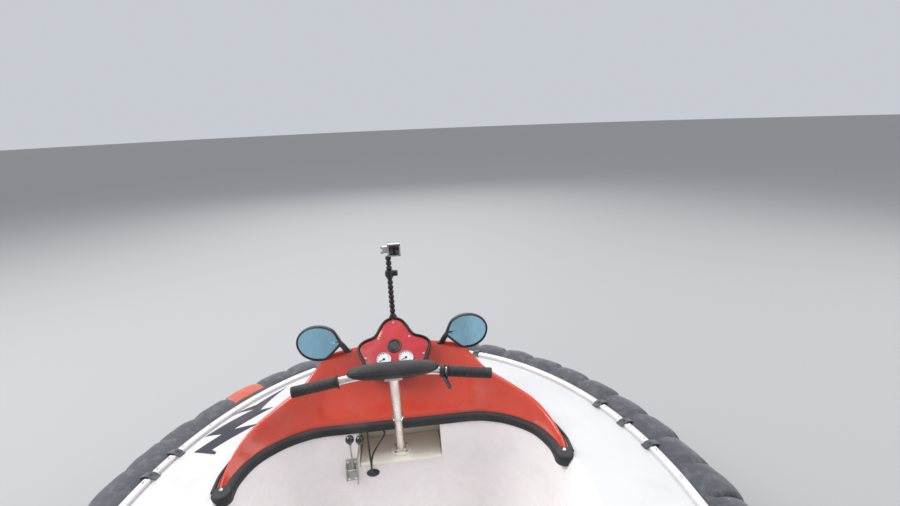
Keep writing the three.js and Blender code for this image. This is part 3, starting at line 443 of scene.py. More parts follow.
def through(rows: Sequence[Row], steps: int) -> Points:
    """Rows of numbers on a smooth curve that passes through the given rows.

    Args:
        rows: The rows that the curve passes through.
        steps: How many steps lead from each row to the next.

    Returns:
        The rows, with the new ones between them.
    """
    padded = [rows[0], *rows, rows[-1]]
    made = []
    for i in range(len(rows) - 1):
        for k in range(steps):
            t = k / steps
            made.append(tuple(_between(*four, t) for four in zip(*padded[i : i + 4])))
    return [*made, tuple(rows[-1])]


def _between(a: float, b: float, c: float, d: float, t: float) -> float:
    """A number between b and c on the smooth curve through four numbers."""
    return 0.5 * (2 * b + (c - a) * t + (2 * a - 5 * b + 4 * c - d) * t**2 + (3 * b - a - 3 * c + d) * t**3)


def arc(centre: Row, radius: float, start: float, end: float, steps: int) -> Points:
    """Points on an arc.

    Args:
        centre: Its centre.
        radius: Its radius.
        start: Its first angle in degrees.
        end: Its last angle.
        steps: How many steps it takes.

    Returns:
        The points.
    """
    turns = [radians(start + (end - start) * k / steps) for k in range(steps + 1)]
    return [(centre[0] + radius * cos(t), centre[1] + radius * sin(t)) for t in turns]


def grid(bm: Mesh, across: int, along: int, place: Callable[[int, int], Vector]) -> list:
    """Adds a grid of quads and puts each of its corners in place.

    Args:
        bm: The mesh.
        across: Quads in a row.
        along: Rows of quads.
        place: Gives a corner's place from its number across and along.

    Returns:
        The grid's corners.
    """
    made = bmesh.ops.create_grid(bm, x_segments=across, y_segments=along, size=0.5)["verts"]
    for v in made:
        v.co = place(round((v.co.x + 0.5) * across), round((v.co.y + 0.5) * along))
    return made


def loft(
    bm: Mesh, rings: Sequence[Ring], closed: bool = True, capped: bool = True, looped: bool = False
) -> list:
    """Skins a row of like rings.

    Args:
        bm: The mesh.
        rings: Rings of points, all with the same number.
        closed: Whether each ring's last point joins its first.
        capped: Whether open ends are filled.
        looped: Whether the last ring joins the first.

    Returns:
        The skin's corners.
    """
    count = len(rings[0])
    across = count if closed else count - 1
    along = len(rings) if looped else len(rings) - 1
    made = grid(bm, across, along, lambda i, j: rings[j % len(rings)][i % count])
    doubles = bmesh.ops.find_doubles(bm, verts=made, dist=TINY)["targetmap"]
    bmesh.ops.weld_verts(bm, targetmap=doubles)
    made = [v for v in made if v.is_valid]
    if capped:
        edges = {e for v in made for e in v.link_edges if e.is_boundary}
        bmesh.ops.holes_fill(bm, edges=list(edges), sides=0)
    return made


def sweep(bm: Mesh, section: Sequence[Row], path: Ring, up: Vector = UP, looped: bool = False) -> None:
    """Carries a section along a path.

    Args:
        bm: The mesh.
        section: Its points as (to the side, up).
        path: The points that it follows.
        up: The direction that stays up.
        looped: Whether the path's last point joins its first.
    """
    rings = []
    count = len(path)
    for i, here in enumerate(path):
        before = path[i - 1] if i or looped else here
        after = path[(i + 1) % count] if i < count - 1 or looped else here
        along = (after - before).normalized()
        side = along.cross(up).normalized()
        lift = side.cross(along)
        rings.append([here + side * a + lift * b for a, b in section])
    loft(bm, rings, looped=looped, capped=not looped)


def circle(radius: float, sides: int) -> Points:
    """A round section for a sweep."""
    return arc((0, 0), radius, 0, 360 - 360 / sides, sides - 1)


def turned(bm: Mesh, profile: Sequence[Row], centre: Vector, axis: Vector, sides: int = 32) -> list:
    """Spins a profile about an axis.

    Args:
        bm: The mesh.
        profile: Its points as (radius, along the axis).
        centre: Where the axis starts.
        axis: The axis.
        sides: Steps in a turn.

    Returns:
        The corners.
    """
    known = set(bm.verts)
    turn = axis.normalized().to_track_quat("Z", "Y").to_matrix()
    verts = [bm.verts.new(centre + turn @ xyz(r, 0, h)) for r, h in profile]
    edges = [bm.edges.new(pair) for pair in zip(verts, verts[1:])]
    bmesh.ops.spin(
        bm,
        geom=[*verts, *edges],
        cent=centre,
        axis=turn @ UP,
        dvec=(0, 0, 0),
        angle=tau,
        steps=sides,
        use_merge=True,
    )
    made = [v for v in bm.verts if v not in known]
    bmesh.ops.remove_doubles(bm, verts=made, dist=TINY)
    return [v for v in made if v.is_valid]


def bar(bm: Mesh, start: Vector, end: Vector, radius: float, sides: int = 16, edge: float = 0.0) -> None:
    """A round bar.

    Args:
        bm: The mesh.
        start: One end.
        end: The other end.
        radius: Its radius.
        sides: Steps in a turn.
        edge: How far its end edges are eased.
    """
    length = (end - start).length
    edge = max(edge, radius * 0.06)
    profile = [(0, 0), (radius - edge, 0), (radius, edge)]
    profile += [(r, length - h) for r, h in reversed(profile)]
    turned(bm, profile, start, end - start, sides)


def boss(bm: Mesh, centre: Vector, axis: Vector, sizes: Row, ease: Row, sides: int) -> None:
    """A thick ring.

    Args:
        bm: The mesh.
        centre: Its middle.
        axis: Its axis.
        sizes: The radius of its hole, its own radius and half its length.
        ease: How far its outer edges are cut back, across and along.
        sides: Steps in a turn.
    """
    bore, radius, half = sizes
    low = [(bore, -half), (radius - ease[0], -half), (radius, ease[1] - half)]
    turned(bm, [*low, *((r, -h) for r, h in reversed(low)), low[0]], centre, axis, sides)


def soften(bm: Mesh, parts: Sequence, width: float, segments: int, affect: str = "EDGES") -> None:
    """Rounds edges, or corners if affect says so, with an even bevel."""
    bmesh.ops.bevel(
        bm, geom=parts, offset=width, segments=segments, profile=0.5, affect=affect, material=-1
    )


def block(bm: Mesh, low: Row, high: Row, edge: float = 0.002, segments: int = 2) -> None:
    """A box with rounded edges.

    Args:
        bm: The mesh.
        low: Its lowest corner.
        high: Its highest corner.
        edge: The rounding's width.
        segments: The rounding's steps.
    """
    low, high = Vector(low), Vector(high)
    where = Matrix.Translation((low + high) / 2) @ Matrix.Diagonal((*(high - low), 1))
    made = bmesh.ops.create_cube(bm, size=1, matrix=where)["verts"]
    soften(bm, list({e for v in made for e in v.link_edges}), edge, segments)


def brick(bm: Mesh, middle: Row, half: Row, edge: float = 0.002, segments: int = 2) -> None:
    """A block given by its middle and by half its sizes."""
    middle, half = Vector(middle), Vector(half)
    block(bm, middle - half, middle + half, edge, segments)


def plate(
    bm: Mesh, outline: Sequence[Row], where: Matrix, low: float, high: float, corner: float, edge: float
) -> None:
    """A flat plate of any outline, with rounded corners and edges.

    Args:
        bm: The mesh.
        outline: Its points in the plate's plane, anticlockwise.
        where: The plate's own frame, with its thickness along Z.
        low: Where its underside lies along Z.
        high: Where its top lies.
        corner: How far the corners are rounded back.
        edge: How far the edges of its top are rounded back.
    """
    known = {*bm.verts, *bm.faces}
    base = [bm.verts.new((x, y, low)) for x, y in outline]
    bm.faces.new(base)
    if corner > 0:
        soften(bm, base, corner, 4, "VERTICES")
    face = next(f for f in bm.faces if f not in known)
    grown = bmesh.ops.extrude_face_region(bm, geom=[face])["geom"]
    top = [v for v in grown if isinstance(v, bmesh.types.BMVert)]
    bmesh.ops.translate(bm, verts=top, vec=(0, 0, high - low))
    soften(bm, [e for e in grown if isinstance(e, bmesh.types.BMEdge)], edge, 3)
    bmesh.ops.transform(bm, matrix=where, verts=[v for v in bm.verts if v not in known])


def screw(bm: Mesh, seat: Vector, radius: float, height: float) -> None:
    """A small domed screw head that faces up."""
    profile = [(0, -0.001), (radius, -0.001), (radius, height * 0.35)]
    profile += [(radius * 0.7, height * 0.85), (0, height)]
    turned(bm, profile, seat, UP, 10)


def bolt(bm: Mesh, seat: Vector, axis: Vector, radius: float) -> None:
    """A hexagon bolt head on a washer.

    Args:
        bm: The mesh.
        seat: Where its washer rests.
        axis: The direction out of the surface.
        radius: Half the head's width over its corners.
    """
    wide, thin, top = radius * 1.5, radius * 0.28, radius * 1.15
    turned(bm, [(0, 0), (wide, 0), (wide, thin), (0, thin)], seat, axis, 20)
    head = [(0, radius * 0.2), (radius, thin), (radius, top * 0.88), (radius * 0.86, top), (0, top)]
    turned(bm, head, seat, axis, 6)


def close(bm: Mesh, chosen: Callable[[Vector], bool] = lambda spot: True) -> None:
    """Fills holes.

    Args:
        bm: The mesh.
        chosen: Tells from the place of an edge's corner whether its hole is filled.
    """
    edges = [e for e in bm.edges if e.is_boundary and chosen(e.verts[0].co)]
    bmesh.ops.holes_fill(bm, edges=edges, sides=0)


def curve(rows: Sequence[Row], steps: int) -> list[Vector]:
    """Points on the smooth curve through the given ones."""
    return [Vector(p) for p in through(rows, steps)]


def rectangle(left: float, low: float, right: float, high: float) -> Points:
    """A rectangle's corners, anticlockwise."""
    return [(left, low), (right, low), (right, high), (left, high)]


def slice_faces(bm: Mesh, faces: Iterable, spot: Row, direction: Row) -> None:
    """Cuts faces in two where a plane passes, and keeps both sides."""
    geom = [*faces, *{e for f in faces for e in f.edges}, *{v for f in faces for v in f.verts}]
    bmesh.ops.bisect_plane(bm, geom=geom, dist=TINY, plane_co=spot, plane_no=direction)


def cut_window(bm: Mesh, half: float, low: float, high: float, near: Callable[[float], bool]) -> None:
    """Takes a square window out of a wall that stands across the craft.

    Args:
        bm: The mesh.
        half: Half the window's width.
        low: Its sill's height.
        high: Its head's height.
        near: Tells from Y whether a face belongs to the wall.
    """
    planes = [((half, 0, 0), (1, 0, 0)), ((-half, 0, 0), (1, 0, 0)), ((0, 0, low), UP), ((0, 0, high), UP)]
    for spot, direction in planes:
        slice_faces(bm, [f for f in bm.faces if near(f.calc_center_median().y)], spot, direction)
    gone = []
    for face in bm.faces:
        x, y, z = face.calc_center_median()
        if near(y) and abs(x) < half and low < z < high:
            gone.append(face)
    bmesh.ops.delete(bm, geom=gone, context="FACES")


def thicken(bm: Mesh, thickness: float) -> None:
    """Gives an open shell a wall, once its faces point outwards."""
    bmesh.ops.recalc_face_normals(bm, faces=bm.faces)
    bmesh.ops.solidify(bm, geom=bm.faces[:], thickness=thickness)


def piece(
    bm: Mesh,
    name: str,
    finish: Finish | Sequence[Finish],
    node: str = "",
    body: str = HULL,
    sharp: float = 35,
    where: Matrix | None = None,
) -> bpy.types.Object:
    """Turns a mesh into a finished piece of the craft.

    Args:
        bm: The mesh, which is used up.
        name: The piece's name.
        finish: Its finish, or the finishes of its face groups.
        node: The solid that it stands for, if any.
        body: The body that it rides on.
        sharp: The angle in degrees past which an edge stays sharp.
        where: The mesh's own frame, if it isn't the craft's.

    Returns:
        The piece.
    """
    if where is not None:
        bmesh.ops.transform(bm, matrix=where, verts=bm.verts)
    bmesh.ops.recalc_face_normals(bm, faces=bm.faces)
    limit = radians(sharp)
    for edge in bm.edges:
        edge.smooth = edge.calc_face_angle(0.0) < limit
    for face in bm.faces:
        face.smooth = True
    mesh = bpy.data.meshes.new(name)
    bm.to_mesh(mesh)
    bm.free()
    obj = bpy.data.objects.new(name, mesh)
    bpy.context.scene.collection.objects.link(obj)
    finishes = [finish] if isinstance(finish, Finish) else list(finish)
    for each in finishes:
        mesh.materials.append(each.material)
    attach(obj, body)
    if node:
        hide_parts(node)
    LOG.info("%s: %d faces", name, len(mesh.polygons))
    return obj


def dress(names: Iterable[str], finish: Finish) -> None:
    """Gives solids that show as they are their finish.

    Args:
        names: The solids' names.
        finish: Their finish.
    """
    for name in names:
        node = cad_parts[name]
        node.data.materials.clear()
        node.data.materials.append(finish.material)


def mm(*rows: Row) -> tuple[tuple[float, ...], ...]:
    """Rows of millimetres as metres."""
    return tuple(tuple(value / 1000 for value in row) for row in rows)


# The craft's outlines


def run(start: Row, end: Row, steps: int) -> Points:
    """Points between two points, without the two themselves."""
    return [tuple(a + (b - a) * k / steps for a, b in zip(start, end)) for k in range(1, steps)]


def rounded(wide: float, ends: Row, radii: Row, steps: int, sides: int = 1) -> Points:
    """A box outline with round corners.

    Args:
        wide: Half its width.
        ends: Its rear and its front.
        radii: The radii of its rear and its front corners.
        steps: Steps round each corner.
        sides: Steps along each side.

    Returns:
        The outline's points, from starboard round the front.
    """
    (rear, front), (aft, fore) = ends, radii
    corners = [
        arc((wide - fore, front - fore), fore, 0, 90, steps),
        arc((fore - wide, front - fore), fore, 90, 180, steps),
        arc((aft - wide, rear + aft), aft, 180, 270, steps),
        arc((wide - aft, rear + aft), aft, 270, 360, steps),
    ]
    points = []
    for corner, following in zip(corners, [*corners[1:], corners[0]]):
        points += corner
        points += run(corner[-1], following[0], sides)
    return points


@dataclass(frozen=True)
class Rim:
    """The craft's edge from above: half an ellipse at the bow, straight sides, round quarters."""

    half_width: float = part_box("deck")[1].x
    bow_y: float = 0.58
    bow_tip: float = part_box("deck")[1].y
    stern_y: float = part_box("deck")[0].y
    corner: float = 0.32

    def ring(self, inset: float, z: float, bow: int = 72, side: int = 12, quarter: int = 10) -> list[Vector]:
        """One level line of the craft's edge.

        Args:
            inset: How far it lies inside the edge.
            z: Its height.
            bow: Steps round the bow.
            side: Steps along each side and the stern.
            quarter: Steps round each quarter.

        Returns:
            The line's points, from starboard round the bow.
        """
        wide, long = self.half_width - inset, self.bow_tip - self.bow_y - inset
        radius = max(self.corner - inset, 0.02)
        low = self.stern_y + inset + radius
        turns = [pi * k / bow for k in range(bow + 1)]
        points = [(wide * cos(t), self.bow_y + long * sin(t)) for t in turns]
        points += run((-wide, self.bow_y), (-wide, low), side)
        points += arc((radius - wide, low), radius, 180, 270, quarter)
        points += run((radius - wide, low - radius), (wide - radius, low - radius), side)
        points += arc((wide - radius, low), radius, 270, 360, quarter)
        points += run((wide, low), (wide, self.bow_y), side)
        return [xyz(x, y, z) for x, y in points]

    @lru_cache
    def walk(self) -> tuple[list[Vector], list[float]]:
        """The edge from the bow's tip round by port, and the distance to each of its points."""
        bow = 720
        ring = self.ring(0, 0, bow, 200, 120)
        points = ring[bow // 2 :] + ring[: bow // 2 + 1]
        lengths = [0.0]
        for a, b in zip(points, points[1:]):
            lengths.append(lengths[-1] + (b - a).length)
        return points, lengths

    @property
    def length(self) -> float:
        """The length of the whole edge."""
        return self.walk()[1][-1]

    def at(self, distance: float, inset: float = 0.0, z: float = 0.0) -> tuple[Vector, Vector]:
        """A place by its distance round the edge from the bow's tip, by port.

        Args:
            distance: The distance round, also negative for starboard.
            inset: How far inside the edge the place lies.
            z: Its height.

        Returns:
            The place, and the direction straight outward there.
        """
        points, lengths = self.walk()
        distance %= lengths[-1]
        high = bisect_right(lengths, distance, 1, len(lengths) - 1)
        low = high - 1
        share = (distance - lengths[low]) / (lengths[high] - lengths[low])
        along = (points[high] - points[low]).normalized()
        outward = xyz(along.y, -along.x, 0)
        here = points[low].lerp(points[high], share) - outward * inset
        return xyz(here.x, here.y, z), outward


@dataclass(frozen=True)
class Opening:
    """The cockpit's opening from above: a long box with round corners."""

    half_width: float = 0.515
    front: float = 0.955
    rear: float = -0.64
    front_radius: float = 0.28
    rear_radius: float = 0.13

    WALL = mm((130, -145), (150, -100), (250, -66), (430, -32), (520, 0))  # height, growth

    def ring(self, grow: float, z: float, steps: int = 14, sides: int = 10) -> list[Vector]:
        """One level line round the opening.

        Args:
            grow: How far outside the opening it lies.
            z: Its height.
            steps: Steps round each corner.
            sides: Steps along each side.

        Returns:
            The line's points.
        """
        wide, front, rear = self.half_width + grow, self.front + grow, self.rear - grow
        radii = (max(self.rear_radius + grow, 0.02), max(self.front_radius + grow, 0.02))
        return [xyz(x, y, z) for x, y in rounded(wide, (rear, front), radii, steps, sides)]

    def front_wall(self, z: float) -> float:
        """Where the tub's front wall stands.

        Args:
            z: The height that is asked for.

        Returns:
            Its place along Y.
        """
        for (low, a), (high, b) in zip(self.WALL, self.WALL[1:]):
            if z <= high:
                return self.front + a + (b - a) * (z - low) / (high - low)
        return self.front


RIM = Rim()
OPENING = Opening()


# Skirt


@dataclass(frozen=True)
class Skirt:
    """Fingers of coated cloth round the whole craft, blown out and creased."""

    fingers: int = 70
    columns: int = 12
    orange: int = 5
    swell: float = 0.38
    end_share: float = 0.75
    side_share: float = 1.19
    dark_edge: float = 0.022
    bow_fingers: int = 24
    side_fingers: int = 17

    OUTSIDE = mm(
        (0, 0, 448, 1), (30, 1, 457, 6), (64, 3, 455, 11), (92, 8, 438, 13), (106, 16, 405, 9),
        (112, 22, 350, 0), (110, 24, 260, 0), (86, 24, 160, 0), (30, 20, 68, 0), (-28, 14, 8, 0),
    )  # reach outside the rim, more at a crest, height, more at a crest
    INSIDE = mm(
        (-34, 12, 8, 0), (-46, 50, 14, 130), (-70, 45, 16, 225), (-105, 20, 16, 225),
        (-117, 4, 14, 130), (-124, 0, 10, 0), (-195, 0, 82, 0), (-4, 0, 425, 0),
    )  # the same, for the hollow under each finger and its back

    def build(self) -> None:
        """Makes the four runs of fingers."""
        stern_fingers = self.fingers - self.bow_fingers - 2 * self.side_fingers
        bow_half = self.bow_fingers / 2
        self.build_run("bow", -bow_half, self.bow_fingers)
        self.build_run("port", bow_half, self.side_fingers)
        self.build_run("stern", bow_half + self.side_fingers, stern_fingers)
        self.build_run("starboard", -bow_half - self.side_fingers, self.side_fingers)

    def build_run(self, name: str, first: float, count: int) -> None:
        """Makes one run.

        Args:
            name: The run's side of the craft.
            first: The number of its first finger, counted from the bow's tip.
            count: How many fingers it has.
        """
        rows = [*through(self.OUTSIDE, 4), *self.INSIDE]
        outside = len(rows) - len(self.INSIDE)
        rings = []
        for i in range(count * self.columns + 1):
            finger = first + i / self.columns
            rings.append([self.place(finger, row, j / outside) for j, row in enumerate(rows)])
        bm = bmesh.new()
        loft(bm, rings)
        bm.normal_update()
        if name == "bow":
            for face in bm.faces:
                face.material_index = int(self.is_orange(face.calc_center_median()))
        finishes, node = (Finish.SKIRT, Finish.ORANGE), "skirt_" + name
        piece(bm, node + "_cloth", finishes, node, sharp=60)

    def is_orange(self, spot: Vector) -> bool:
        """Whether a place on the cloth belongs to the one orange finger, on the port bow.

        Args:
            spot: The place.

        Returns:
            True on that finger, outside its dark edge.
        """
        pitch = RIM.length / self.fingers
        here, outward = RIM.at((self.orange + 0.5) * pitch)
        off = xyz(spot.x, spot.y, 0) - here
        out = off.dot(outward)
        return out > self.dark_edge and (off - outward * out).length < pitch / 2

    def place(self, finger: float, row: Row, down: float) -> Vector:
        """A point of the cloth.

        Args:
            finger: Where it lies along the skirt, in fingers from the bow's tip.
            row: Its row of the profile.
            down: Its share of the way down the outside, past 1 on the inside.

        Returns:
            The point.
        """
        number = floor(finger + 1e-9)
        across = max(finger - number, 0.0)
        point, outward = RIM.at(finger * RIM.length / self.fingers)
        wander = noise.noise(xyz(number * 3.7, 0.3, 0.9))
        lean = across ** (1 - 0.4 * max(outward.x, 0.0))
        lean += 0.09 * wander * sin(pi * lean)
        full = (1 - 0.1 * abs(wander)) * max(sin(pi * lean), 0.0) ** self.swell
        full += (0.82 - full) * 0.5 * max(-outward.x, 0.0)
        reach = row[0] + row[1] * full
        z = row[2] + row[3] * full
        if reach > 0.001:
            reach *= self.end_share + (self.side_share - self.end_share) * abs(outward.x)
        if 0 < down < 1:
            fold = exp(-((down - 0.12) / 0.1) ** 2) * sin(10 * pi * across)
            crease = noise.noise(xyz(finger * 2.6, down * 7, 1.7))
            slack = noise.noise(xyz(finger * 0.9, down * 2.2, 5.1))
            edge = min(1.0, 6 * down, 6 * (1 - down))
            reach += edge * (0.002 * fold + 0.0055 * crease + 0.007 * slack - 0.004)
            z += edge * 0.003 * noise.noise(xyz(finger * 2.1, down * 5, 8.3))
        return xyz(point.x + outward.x * reach, point.y + outward.y * reach, z)


@dataclass(frozen=True)
class Battens:
    """White strips along the rim, with black cloth tabs folded over their joints."""

    width: float = 0.024
    height: float = 0.0115
    inset: float = 0.014
    base: float = 0.4503
    gap: float = 0.03
    port_joints: Row = (0.38, 1.024, 1.13, 1.78, 2.46, 3.14, 3.82)
    starboard_joints: Row = (0.38, 1.002, 1.126, 1.25, 1.9, 2.58, 3.26, 3.94)
    step: float = 0.03
    edge: float = 0.003
    screw_pitch: float = 0.115
    tab_half: Row = (0.011, 0.0016)

    FOLD = mm(
        (-30, 430), (-22, 453), (-4, 463), (16, 465.5), (30, 459), (40, 456),
    )  # a tab's inset from the rim, height

    def build(self) -> None:
        """Makes the strips, their screws and the tabs."""
        stern = RIM.length / 2
        joints = sorted([*self.port_joints, stern, *(RIM.length - j for j in self.starboard_joints)])
        bm, heads = bmesh.new(), bmesh.new()
        for start, end in zip(joints, [*joints[1:], joints[0] + RIM.length]):
            self.strip(bm, start + self.gap / 2, end - self.gap / 2)
            self.screws(heads, start + self.gap, end - self.gap)
        piece(bm, "rim_battens", Finish.WHITE, "rim_rail")
        piece(heads, "rim_screws", Finish.BRIGHT)
        tabs = bmesh.new()
        for joint in joints:
            self.tab(tabs, joint)
        piece(tabs, "rim_tabs", Finish.SKIRT, sharp=50)

    def strip(self, bm: Mesh, start: float, end: float) -> None:
        """Adds one strip.

        Args:
            bm: The strips' mesh.
            start: Where it starts, by the distance round the rim.
            end: Where it ends.
        """
        steps = max(2, round((end - start) / self.step))
        stops = [start + (end - start) * k / steps for k in range(steps + 1)]
        half, top, edge = self.width / 2, self.height, self.edge
        left = arc((edge - half, top - edge), edge, 180, 90, 3)
        right = arc((half - edge, top - edge), edge, 90, 0, 3)
        path = [RIM.at(stop, self.inset, self.base)[0] for stop in stops]
        sweep(bm, [(-half, 0), *left, *right, (half, 0)], path)

    def screws(self, bm: Mesh, start: float, end: float) -> None:
        """Adds a strip's row of screws.

        Args:
            bm: The screws' mesh.
            start: Where the first sits, by the distance round the rim.
            end: Where the last sits.
        """
        count = max(1, round((end - start) / self.screw_pitch))
        for k in range(count + 1):
            along = start + (end - start) * k / count
            screw(bm, RIM.at(along, self.inset, self.base + self.height)[0], 0.0045, 0.0025)

    def tab(self, bm: Mesh, joint: float) -> None:
        """Adds one folded tab with its screw.

        Args:
            bm: The tabs' mesh.
            joint: Its distance round the rim.
        """
        path = [RIM.at(joint, inset, z)[0] for inset, z in through(self.FOLD, 3)]
        wide, thick = self.tab_half
        sweep(bm, rectangle(-wide, -thick, wide, thick), path)
        screw(bm, RIM.at(joint, 0.016, 0.467)[0], 0.005, 0.003)


# Hull, deck and cockpit


@dataclass(frozen=True)
class Deck:
    """The white deck moulding, from the rim up to the cockpit's opening."""

    top: float = 0.52
    lip_depth: float = 0.004

    ROWS = mm(
        (28, 450), (62, 464), (140, 485), (230, 505), (312, 520),
    )  # inset from the rim, height
    EDGE = mm((0, 430), (0, 445.5), (1.5, 449), (5, 450))
    HULL_ROWS = mm((60, 429.5), (75, 380), (140, 250), (215, 78))
    KEEL = mm((228, 64), (250, 60))
    FLASH = mm(
        (560, 68), (717, 78), (795, 22), (748, 105), (930, 43), (919, 118), (1020, 85), (1040, 190),
        (1027, 188), (1011, 157), (836, 228), (886, 146), (712, 187), (746, 143),
    )  # the lightning's corners: distance round the rim, inset

    @property
    def rows(self) -> Points:
        """The deck's fall from the cockpit to the rim, as inset and height."""
        return through(self.ROWS, 4)

    def height(self, inset: float) -> float:
        """The deck's height.

        Args:
            inset: How far inside the rim it is asked for.

        Returns:
            The height.
        """
        rows = self.rows
        for (a, low), (b, high) in zip(rows, rows[1:]):
            if inset <= b:
                return low + (high - low) * (inset - a) / (b - a)
        return self.top

    def build(self) -> None:
        """Makes the deck, the hull below it and the flash."""
        rings = [RIM.ring(inset, z) for inset, z in [*self.EDGE, *self.rows]]
        opening = OPENING.ring(0.01, self.top, 40, 60)
        edge = [min(opening, key=lambda spot: (spot - p).length_squared) for p in rings[-1]]
        level = [p.lerp(q, 0.2) for p, q in zip(rings[-1], edge)]
        rings += [level, edge, [p - UP * self.lip_depth for p in edge]]
        bm = bmesh.new()
        loft(bm, rings, capped=False)
        bmesh.ops.remove_doubles(bm, verts=bm.verts, dist=1e-5)
        piece(bm, "deck_moulding", Finish.WHITE, "deck")
        self.build_hull()
        self.build_flash()

    def build_hull(self) -> None:
        """Makes the lower hull."""
        rows = [*through(self.HULL_ROWS, 3), *self.KEEL]
        bm = bmesh.new()
        loft(bm, [RIM.ring(inset, z, 48, 6, 6) for inset, z in rows], capped=False)
        close(bm, lambda spot: spot.z < 0.1)
        piece(bm, "hull_moulding", Finish.WHITE, "hull")

    def build_flash(self) -> None:
        """Lays the black lightning on the port bow, cut so that it follows the deck."""
        bm = bmesh.new()
        bm.faces.new([bm.verts.new((along, inset, 0)) for along, inset in self.FLASH])
        cuts = [((0.57 + 0.02 * k, 0, 0), (1, 0, 0)) for k in range(24)]
        cuts += [((0, inset, 0), FORWARD) for inset, _ in self.rows]
        for spot, direction in cuts:
            slice_faces(bm, bm.faces[:], spot, direction)
        for v in bm.verts:
            v.co = RIM.at(v.co.x, v.co.y, self.height(v.co.y) + 0.0005)[0]
        thicken(bm, 0.0004)
        piece(bm, "deck_flash", Finish.FLASH)


@dataclass(frozen=True)
class Tub:
    """The white cockpit tub, with the recess and shelf that the column stands in."""

    wall: float = 0.006
    half_shelf: float = 0.14
    shelf_low: Vector = field(default_factory=lambda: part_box("column_shelf")[0])
    shelf_high: Vector = field(default_factory=lambda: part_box("column_shelf")[1])

    HEIGHTS = (0.39, 0.43, 0.47, 0.515)
    ROWS = mm(
        (-300, 130), (-165, 130), (-138, 131), (-114, 140), (-100, 158), (-66, 250), (-32, 430),
        (-6, 496), (-2, 506), (3, 512.2), (8, 514.1), (14, 514.2),
    )  # growth on the opening, height

    def build(self) -> None:
        """Makes the tub, the recess and the shelf."""
        bm = bmesh.new()
        loft(bm, [OPENING.ring(grow, z) for grow, z in self.ROWS], capped=False)
        close(bm, lambda spot: spot.z < 0.2)
        cut_window(bm, self.half_shelf, self.shelf_low.z, 1.0, lambda y: y > 0.8)
        thicken(bm, -self.wall)
        # The tub wears the brighter copy of the white gelcoat: painted light.
        piece(bm, "tub_moulding", Finish.TUB_LIT, "cockpit_tub")
        self.build_recess()
        bm = bmesh.new()
        low, high = self.shelf_low, self.shelf_high
        block(bm, (-self.half_shelf, low.y, low.z), (self.half_shelf, high.y, high.z), 0.005, 3)
        # The shelf's paler cream paints light into its shaded recess.
        piece(bm, "shelf_moulding", Finish.CREAM_LIT, "column_shelf")

    def build_recess(self) -> None:
        """Makes the recess's side and back walls above the shelf."""
        bm = bmesh.new()
        outer, thick, front = self.half_shelf + 0.001, self.wall, self.shelf_high.y
        slant = [(OPENING.front_wall(z) - 0.0045, z) for z in self.HEIGHTS]
        side_wall = [*slant, (front, self.HEIGHTS[-1]), (front, self.HEIGHTS[0])]
        for side, _ in SIDES:
            low, high = sorted((side * outer, side * (outer + thick)))
            plate(bm, side_wall[::-1], SIDEWAYS, low, high, 0, 0.0005)
        back = front + 0.001
        block(bm, (-outer, back, self.shelf_low.z), (outer, back + thick, 0.519), 0.001)
        piece(bm, "column_recess", Finish.CREAM_LIT)


# Cowl


